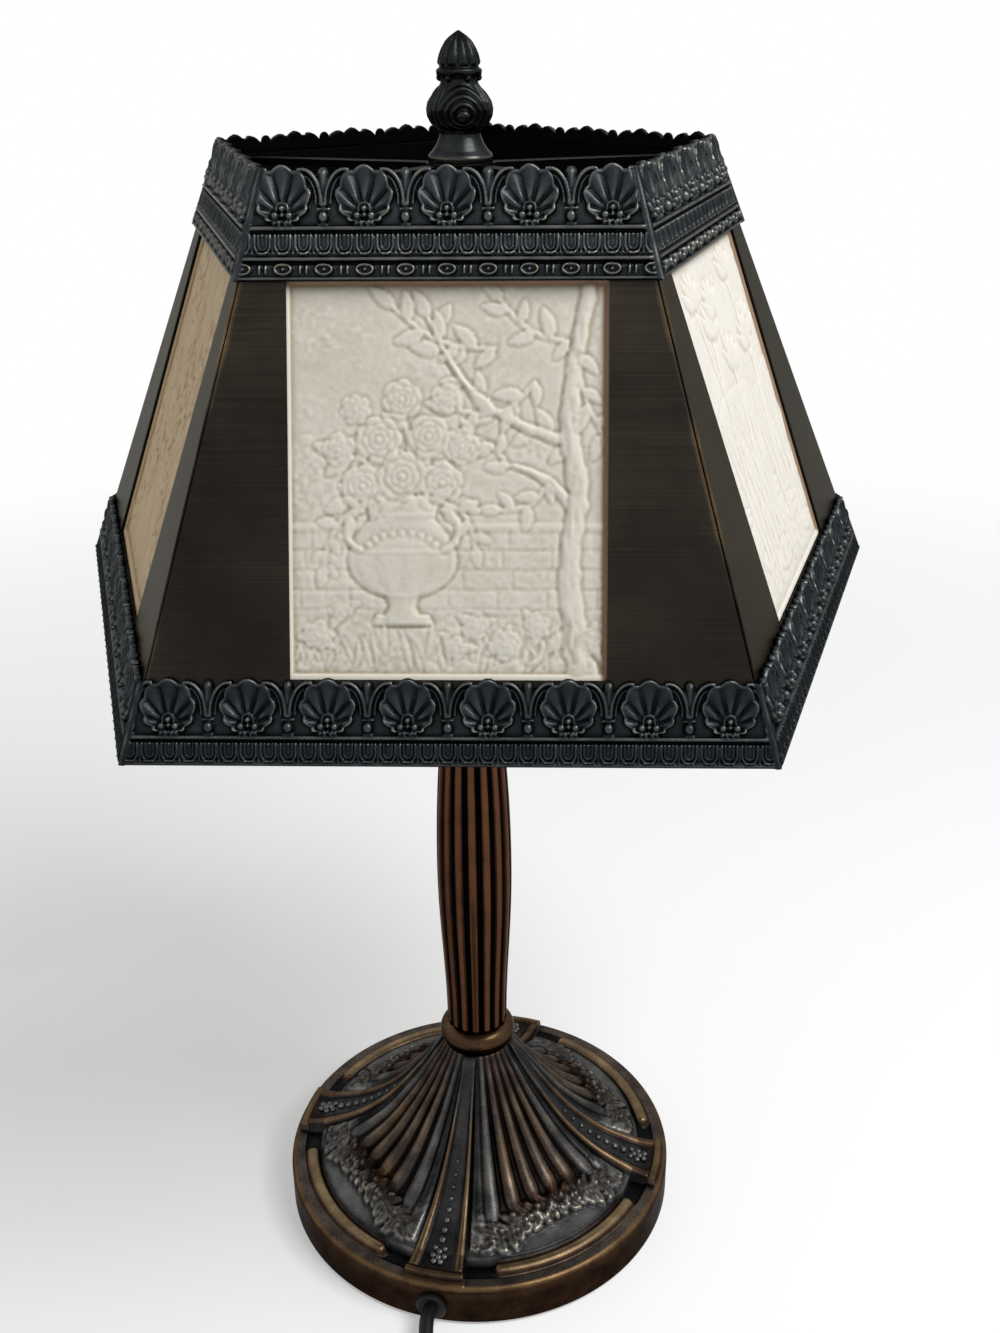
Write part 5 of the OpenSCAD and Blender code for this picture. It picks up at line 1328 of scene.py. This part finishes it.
def cleared(owner):
    """The node tree of a world or a material, emptied."""
    owner.use_nodes = True
    owner.node_tree.nodes.clear()
    return owner.node_tree


def seen(tree):
    """1 for rays that see a thing straight, mirrored or through glass, and 0 for those that light it."""
    path = add_node(tree, "ShaderNodeLightPath").outputs
    sees = calc(tree, "MAXIMUM", path["Is Camera Ray"], path["Is Glossy Ray"])
    return calc(tree, "MAXIMUM", sees, path["Is Transmission Ray"])


def light_room(strength):
    """Even light all round, in front of which everything stands on white."""
    world = bpy.context.scene.world = bpy.data.worlds.new("even_studio_light")
    tree = cleared(world)
    even, white = (add_node(tree, "ShaderNodeBackground", {"Color": (1, 1, 1, 1), "Strength": value}).outputs[0]
                   for value in (strength, 1.0))
    mix = add_node(tree, "ShaderNodeMixShader", {0: seen(tree), 1: even, 2: white})
    add_node(tree, "ShaderNodeOutputWorld", {"Surface": mix.outputs[0]})


def key_light(energy):
    """One large soft lamp from the upper right."""
    light = bpy.data.lights.new("key", "AREA")
    light.shape, light.size, light.energy = "DISK", 0.9, energy
    lamp = put("key", light)
    lamp.location = (0.8, -0.48, 1.5)
    lamp.rotation_euler = (Vector((0, 0, 0.38)) - lamp.location).to_track_quat("-Z", "Y").to_euler()


def paper_floor():
    """White paper that thins out into the white room half a metre away and isn't there from below."""
    material = bpy.data.materials.new("white_paper_floor")
    tree = cleared(material)
    paper = add_node(tree, "ShaderNodeBsdfDiffuse", {"Color": (0.9, 0.9, 0.9, 1)})
    glow = calc(tree, "MULTIPLY", seen(tree), 0.345)
    lit = add_node(tree, "ShaderNodeEmission", {"Color": (1, 1, 1, 1), "Strength": glow})
    both = add_node(tree, "ShaderNodeAddShader", {0: paper.outputs[0], 1: lit.outputs[0]})
    place = add_node(tree, "ShaderNodeTexCoord").outputs["Object"]
    far = add_node(tree, "ShaderNodeVectorMath", {0: place}, operation="LENGTH").outputs["Value"]
    gone = calc(tree, "MAXIMUM", span(tree, far, 0.0, 1.0, 0.4, 1.3, interpolation_type="SMOOTHSTEP"),
                add_node(tree, "ShaderNodeNewGeometry").outputs["Backfacing"])
    clear = add_node(tree, "ShaderNodeBsdfTransparent")
    faded = add_node(tree, "ShaderNodeMixShader", {0: gone, 1: both.outputs[0], 2: clear.outputs[0]})
    add_node(tree, "ShaderNodeOutputMaterial", {"Surface": faded.outputs[0]})
    mesh = bpy.data.meshes.new("floor")
    mesh.from_pydata([(-6, -6, 0), (6, -6, 0), (6, 6, 0), (-6, 6, 0)], [], [(0, 1, 2, 3)])
    mesh.materials.append(material)
    floor = put("floor", mesh)


# Operators

class LampStage(bpy.types.Operator):
    """Sets up the camera, the floor and the lamps"""
    bl_idname = "lamp.stage"
    bl_label = "Stage"

    def execute(self, context):
        s = context.scene.lamp_stage
        context.scene.view_settings.view_transform = "Standard"
        place_camera(s.lens)
        light_room(s.world)
        key_light(s.key)
        paper_floor()
        return {"FINISHED"}


class LampCord(bpy.types.Operator):
    """Makes the cord with its coil, and finishes its tie, plug, grommet and blades"""
    bl_idname = "lamp.cord"
    bl_label = "Cord"

    def execute(self, context):
        s = context.scene.lamp_cord
        route = cord_route()
        data = bpy.data.curves.new("mains_cord", "CURVE")
        data.dimensions = "3D"
        spline = data.splines.new("POLY")
        spline.points.add(len(route) - 1)
        for point, at in zip(spline.points, route):
            point.co = (*at, 1)
        spline.use_smooth = True
        data.bevel_depth = s.diameter / 2
        data.bevel_resolution = s.facets
        data.use_fill_caps = True
        # Round vinyl flex, black and slightly glossy
        flex = moulded("vinyl_flex", "#040405", "#0a0a0b", 0.46, 0.6, 0.02)
        data.materials.append(flex)
        cord = put("mains_cord", data)
        settle(cord, "stand", ["cord_lead", "cord_coil", "cord_tail"])
        dress(["inner_cord"], flex)
        dress(["cord_tie"], moulded("nylon_tie", "#121213", "#1d1d1e", 0.5))
        dress(["cord_plug"], moulded("moulded_plug_vinyl", "#101011", "#1a1a1b", 0.48, 0.8, 0.05))
        dress(["cord_grommet"], moulded("black_rubber_grommet", "#060606", "#0d0d0d", 0.5))
        dress(["plug_blades"], plain_metal("stamped_brass_blades", "#a98f55", "#c9b277", 0.28))
        return {"FINISHED"}


class LampFoot(bpy.types.Operator):
    """Makes the cast foot with its straps, beads, flutes, roll and rim"""
    bl_idname = "lamp.foot"
    bl_label = "Foot"

    def execute(self, context):
        s = context.scene.lamp_foot
        # Cast metal that is iron-grey on its ground and browned on its ridges and rim
        finish = cast_patina(
            "browned_cast_foot",
            [(0.1, "#070707"), (0.36, "#1a1a1b"), (0.55, "#373738"), (0.75, "#626360"), (0.95, "#928e83")],
            (0.5, 0.27), 9.0, 0.8, 0.06,
            brown=[(0.1, "#0b0705"), (0.36, "#20150f"), (0.55, "#3b2b1f"), (0.75, "#645037"), (0.95, "#958058")])
        points, faces, marks = foot_mesh(s.columns)
        new_piece("foot_casting", points, faces, finish, "stand", ["base_casting"], marks)
        places, looks = strap_beads()
        mesh = bpy.data.meshes.new("strap_guide")
        mesh.from_pydata(places, [], [])
        for name, values in looks.items():
            layer = mesh.attributes.new(name, "FLOAT_VECTOR", "POINT")
            layer.data.foreach_set("vector", np.array(values, dtype=np.float32).ravel())
        beads = put("foot_strap_beads", mesh)
        grow(beads, bead_tree(), {"Bead scale": s.bead_scale, "Rings": 12, "Finish": finish})
        settle(beads, "stand")
        dress(["base_felt"], felt_finish())
        return {"FINISHED"}


class LampColumn(bpy.types.Operator):
    """Makes the fluted column and finishes its ring and cap"""
    bl_idname = "lamp.column"
    bl_label = "Column"

    def execute(self, context):
        s = context.scene.lamp_column
        # Red-brown bronze: black in the channels, with a painted highlight lighter along each reed
        finish = cast_patina(
            "red_brown_cast_column", [(0.05, "#0b0605"), (0.4, "#1a0e09"), (0.75, "#2f1c15"), (1.0, "#563a28")],
            (0.42, 0.24), 14.0, 0.9, 0.04)
        piece = put("fluted_column", bpy.data.meshes.new("column_seed"))
        sizes = {name: size * MM for name, size in COLUMN.items()}
        grow(piece, column_tree(), {
            **sizes, "Rings": 96, "Points round": 15 * s.flutes + 1, "Flutes": s.flutes, "Flute depth": s.flute_depth,
            "Finish": finish})
        piece.data.shade_smooth()
        settle(piece, "stand", ["column"])
        # Turned metal with a brassier brown skin
        dress(["column_ring", "column_cap"], cast_patina(
            "brassy_turned_ring", [(0.2, "#1a110c"), (0.5, "#3f2e21"), (0.85, "#746044")], (0.34, 0.2), 8.0, 0.6,
            0.02, base=0.5))
        return {"FINISHED"}


class LampBands(bpy.types.Operator):
    """Makes the ten cast bands with their shells, tongues, beads and reels"""
    bl_idname = "lamp.bands"
    bl_label = "Cast bands"

    def execute(self, context):
        s = context.scene.lamp_shade
        # Blue-black patina on a white metal casting, rubbed to olive brass on its rims
        finish = cast_patina(
            "blue_black_cast_band",
            [(0.12, "#0e1011"), (0.42, "#222527"), (0.6, "#34383a"), (0.8, "#555856"), (1.0, "#77725f")],
            (0.48, 0.28), 6.0, 0.55, 0.04)
        for kind, parts, foot_v, height in (
                ("crown", crown_parts, CROWN_V, CROWN_H), ("skirt", skirt_parts, 0.0, SKIRT_H)):
            for step, sides in ((s.front_step, (0,)), (s.side_step, (1, 2, 3, 4))):
                points, faces, marks = band_mesh(parts, foot_v, height, step)
                # The skirt is painted darker than the crown, and darker still along its row of tongues, as painted
                # shade on the lower part of the lampshade
                if kind == "skirt":
                    marks = marks - 0.09 - 0.05 * (points[:, 1] < ROW_TONGUE)
                for index in sides:
                    new_piece(f"{kind}_band_{SIDES[index]}", on_side(index, *points.T), faces, finish, "shade",
                              [f"{kind}_{SIDES[index]}"], {"wear_and_shading": marks}, flat=1)
        return {"FINISHED"}


class LampPlaques(bpy.types.Operator):
    """Makes the five porcelain plaques with their pictures in relief"""
    bl_idname = "lamp.plaques"
    bl_label = "Plaques"

    def execute(self, context):
        s = context.scene.lamp_shade
        pictures = (garden_urn, lily_pond, oak_bough, vine, rose_trellis)
        # The right plaque is painted whiter as painted light, and the left one tan as painted shade warmed by
        # reflected light
        plain = ("#b9ad94", tuple(s.ivory))
        pairs = (plain, ("#d8d0c0", "#f5f0e6"), plain, plain, ("#b99b71", "#f0d3a3"))
        for index, (picture, pair) in enumerate(zip(pictures, pairs)):
            step = s.plaque_step if index == 0 else s.plaque_step + 0.15
            finish = porcelain(f"unglazed_porcelain_{SIDES[index]}", *pair)
            plaque_piece(index, picture, step, finish)
        return {"FINISHED"}


class LampSheets(bpy.types.Operator):
    """Finishes the shade's sheet-metal sides, corner strips, clips and spider"""
    bl_idname = "lamp.sheets"
    bl_label = "Sheet metal"

    def execute(self, context):
        for index, name in enumerate(SIDES):
            dress([f"panel_{name}"], sheet_patina(index))
        # Strip metal with a dull black skin
        dress(["corner_angles", "plaque_clips", "spider"], cast_patina(
            "blackened_strip_metal", [(0.2, "#050508"), (0.5, "#0b0b10"), (0.85, "#1c1c22")], (0.55, 0.4), 8.0, 0.8,
            0.03, base=0.45))
        return {"FINISHED"}


class LampFitting(bpy.types.Operator):
    """Finishes the pipe, cluster, sockets, keys and bulbs"""
    bl_idname = "lamp.fitting"
    bl_label = "Light fitting"

    def execute(self, context):
        dress(["base_washer", "base_nut", "centre_pipe", "riser_rod", "seat_nut", "neck_sleeve", "cluster_body",
               "cluster_cover"], plain_metal("turned_lamp_brass", "#7d6132", "#a98a4c", 0.34))
        for nodes, finish in (
                (("socket_cap", "socket_shell"), plain_metal("drawn_socket_brass", "#9a7a3c", "#c2a05a", 0.26)),
                (("bulb_base",), plain_metal("rolled_bulb_base", "#a59a80", "#c8c0a6", 0.3, 1.2)),
                (("socket_core", "switch_key"), moulded("pressed_phenolic", "#120d0a", "#241a14", 0.3, 0.9)),
                (("bulb_glass",), frosted_glass())):
            dress([f"{node}_{hand}" for node in nodes for hand in ("left", "right")], finish)
        return {"FINISHED"}


class LampFinial(bpy.types.Operator):
    """Makes the cast finial"""
    bl_idname = "lamp.finial"
    bl_label = "Finial"

    def execute(self, context):
        # Dark cast metal, rubbed to a grey brass on its ribs
        finish = cast_patina(
            "dark_cast_finial",
            [(0.1, "#060607"), (0.45, "#191b1c"), (0.65, "#323434"), (0.82, "#565349"), (0.97, "#857b62")],
            (0.4, 0.2), 6.0, 0.6, 0.03)
        points, faces, marks = finial_mesh(240, 200)
        new_piece("cast_finial", points, faces, finish, "finial", ["finial"], marks)
        return {"FINISHED"}


class LampPanel(bpy.types.Panel):
    """Lists the lamp's pieces and their sizes"""
    bl_idname = "VIEW3D_PT_lamp"
    bl_label = "Lithophane table lamp"
    bl_space_type = "VIEW_3D"
    bl_region_type = "UI"
    bl_category = "Lamp"

    def draw(self, context):
        for operator in OPERATORS:
            self.layout.operator(operator.bl_idname)
        for name, group in SETTINGS.items():
            box = self.layout.box()
            for key in group.__annotations__:
                box.prop(getattr(context.scene, name), key)


SETTINGS = {
    "lamp_stage": LampStageSettings,
    "lamp_cord": LampCordSettings,
    "lamp_foot": LampFootSettings,
    "lamp_column": LampColumnSettings,
    "lamp_shade": LampShadeSettings,
}
OPERATORS = (LampStage, LampCord, LampFoot, LampColumn, LampBands, LampPlaques, LampSheets, LampFitting, LampFinial)


def register():
    for group in SETTINGS.values():
        bpy.utils.register_class(group)
    for name, group in SETTINGS.items():
        setattr(bpy.types.Scene, name, bpy.props.PointerProperty(type=group))
    for operator in OPERATORS:
        bpy.utils.register_class(operator)
    bpy.utils.register_class(LampPanel)


def unregister():
    bpy.utils.unregister_class(LampPanel)
    for operator in reversed(OPERATORS):
        bpy.utils.unregister_class(operator)
    for name in SETTINGS:
        delattr(bpy.types.Scene, name)
    for group in SETTINGS.values():
        bpy.utils.unregister_class(group)


def main():
    register()
    for operator in OPERATORS:
        space, name = operator.bl_idname.split(".")
        getattr(getattr(bpy.ops, space), name)()


if __name__ == "__main__":
    main()
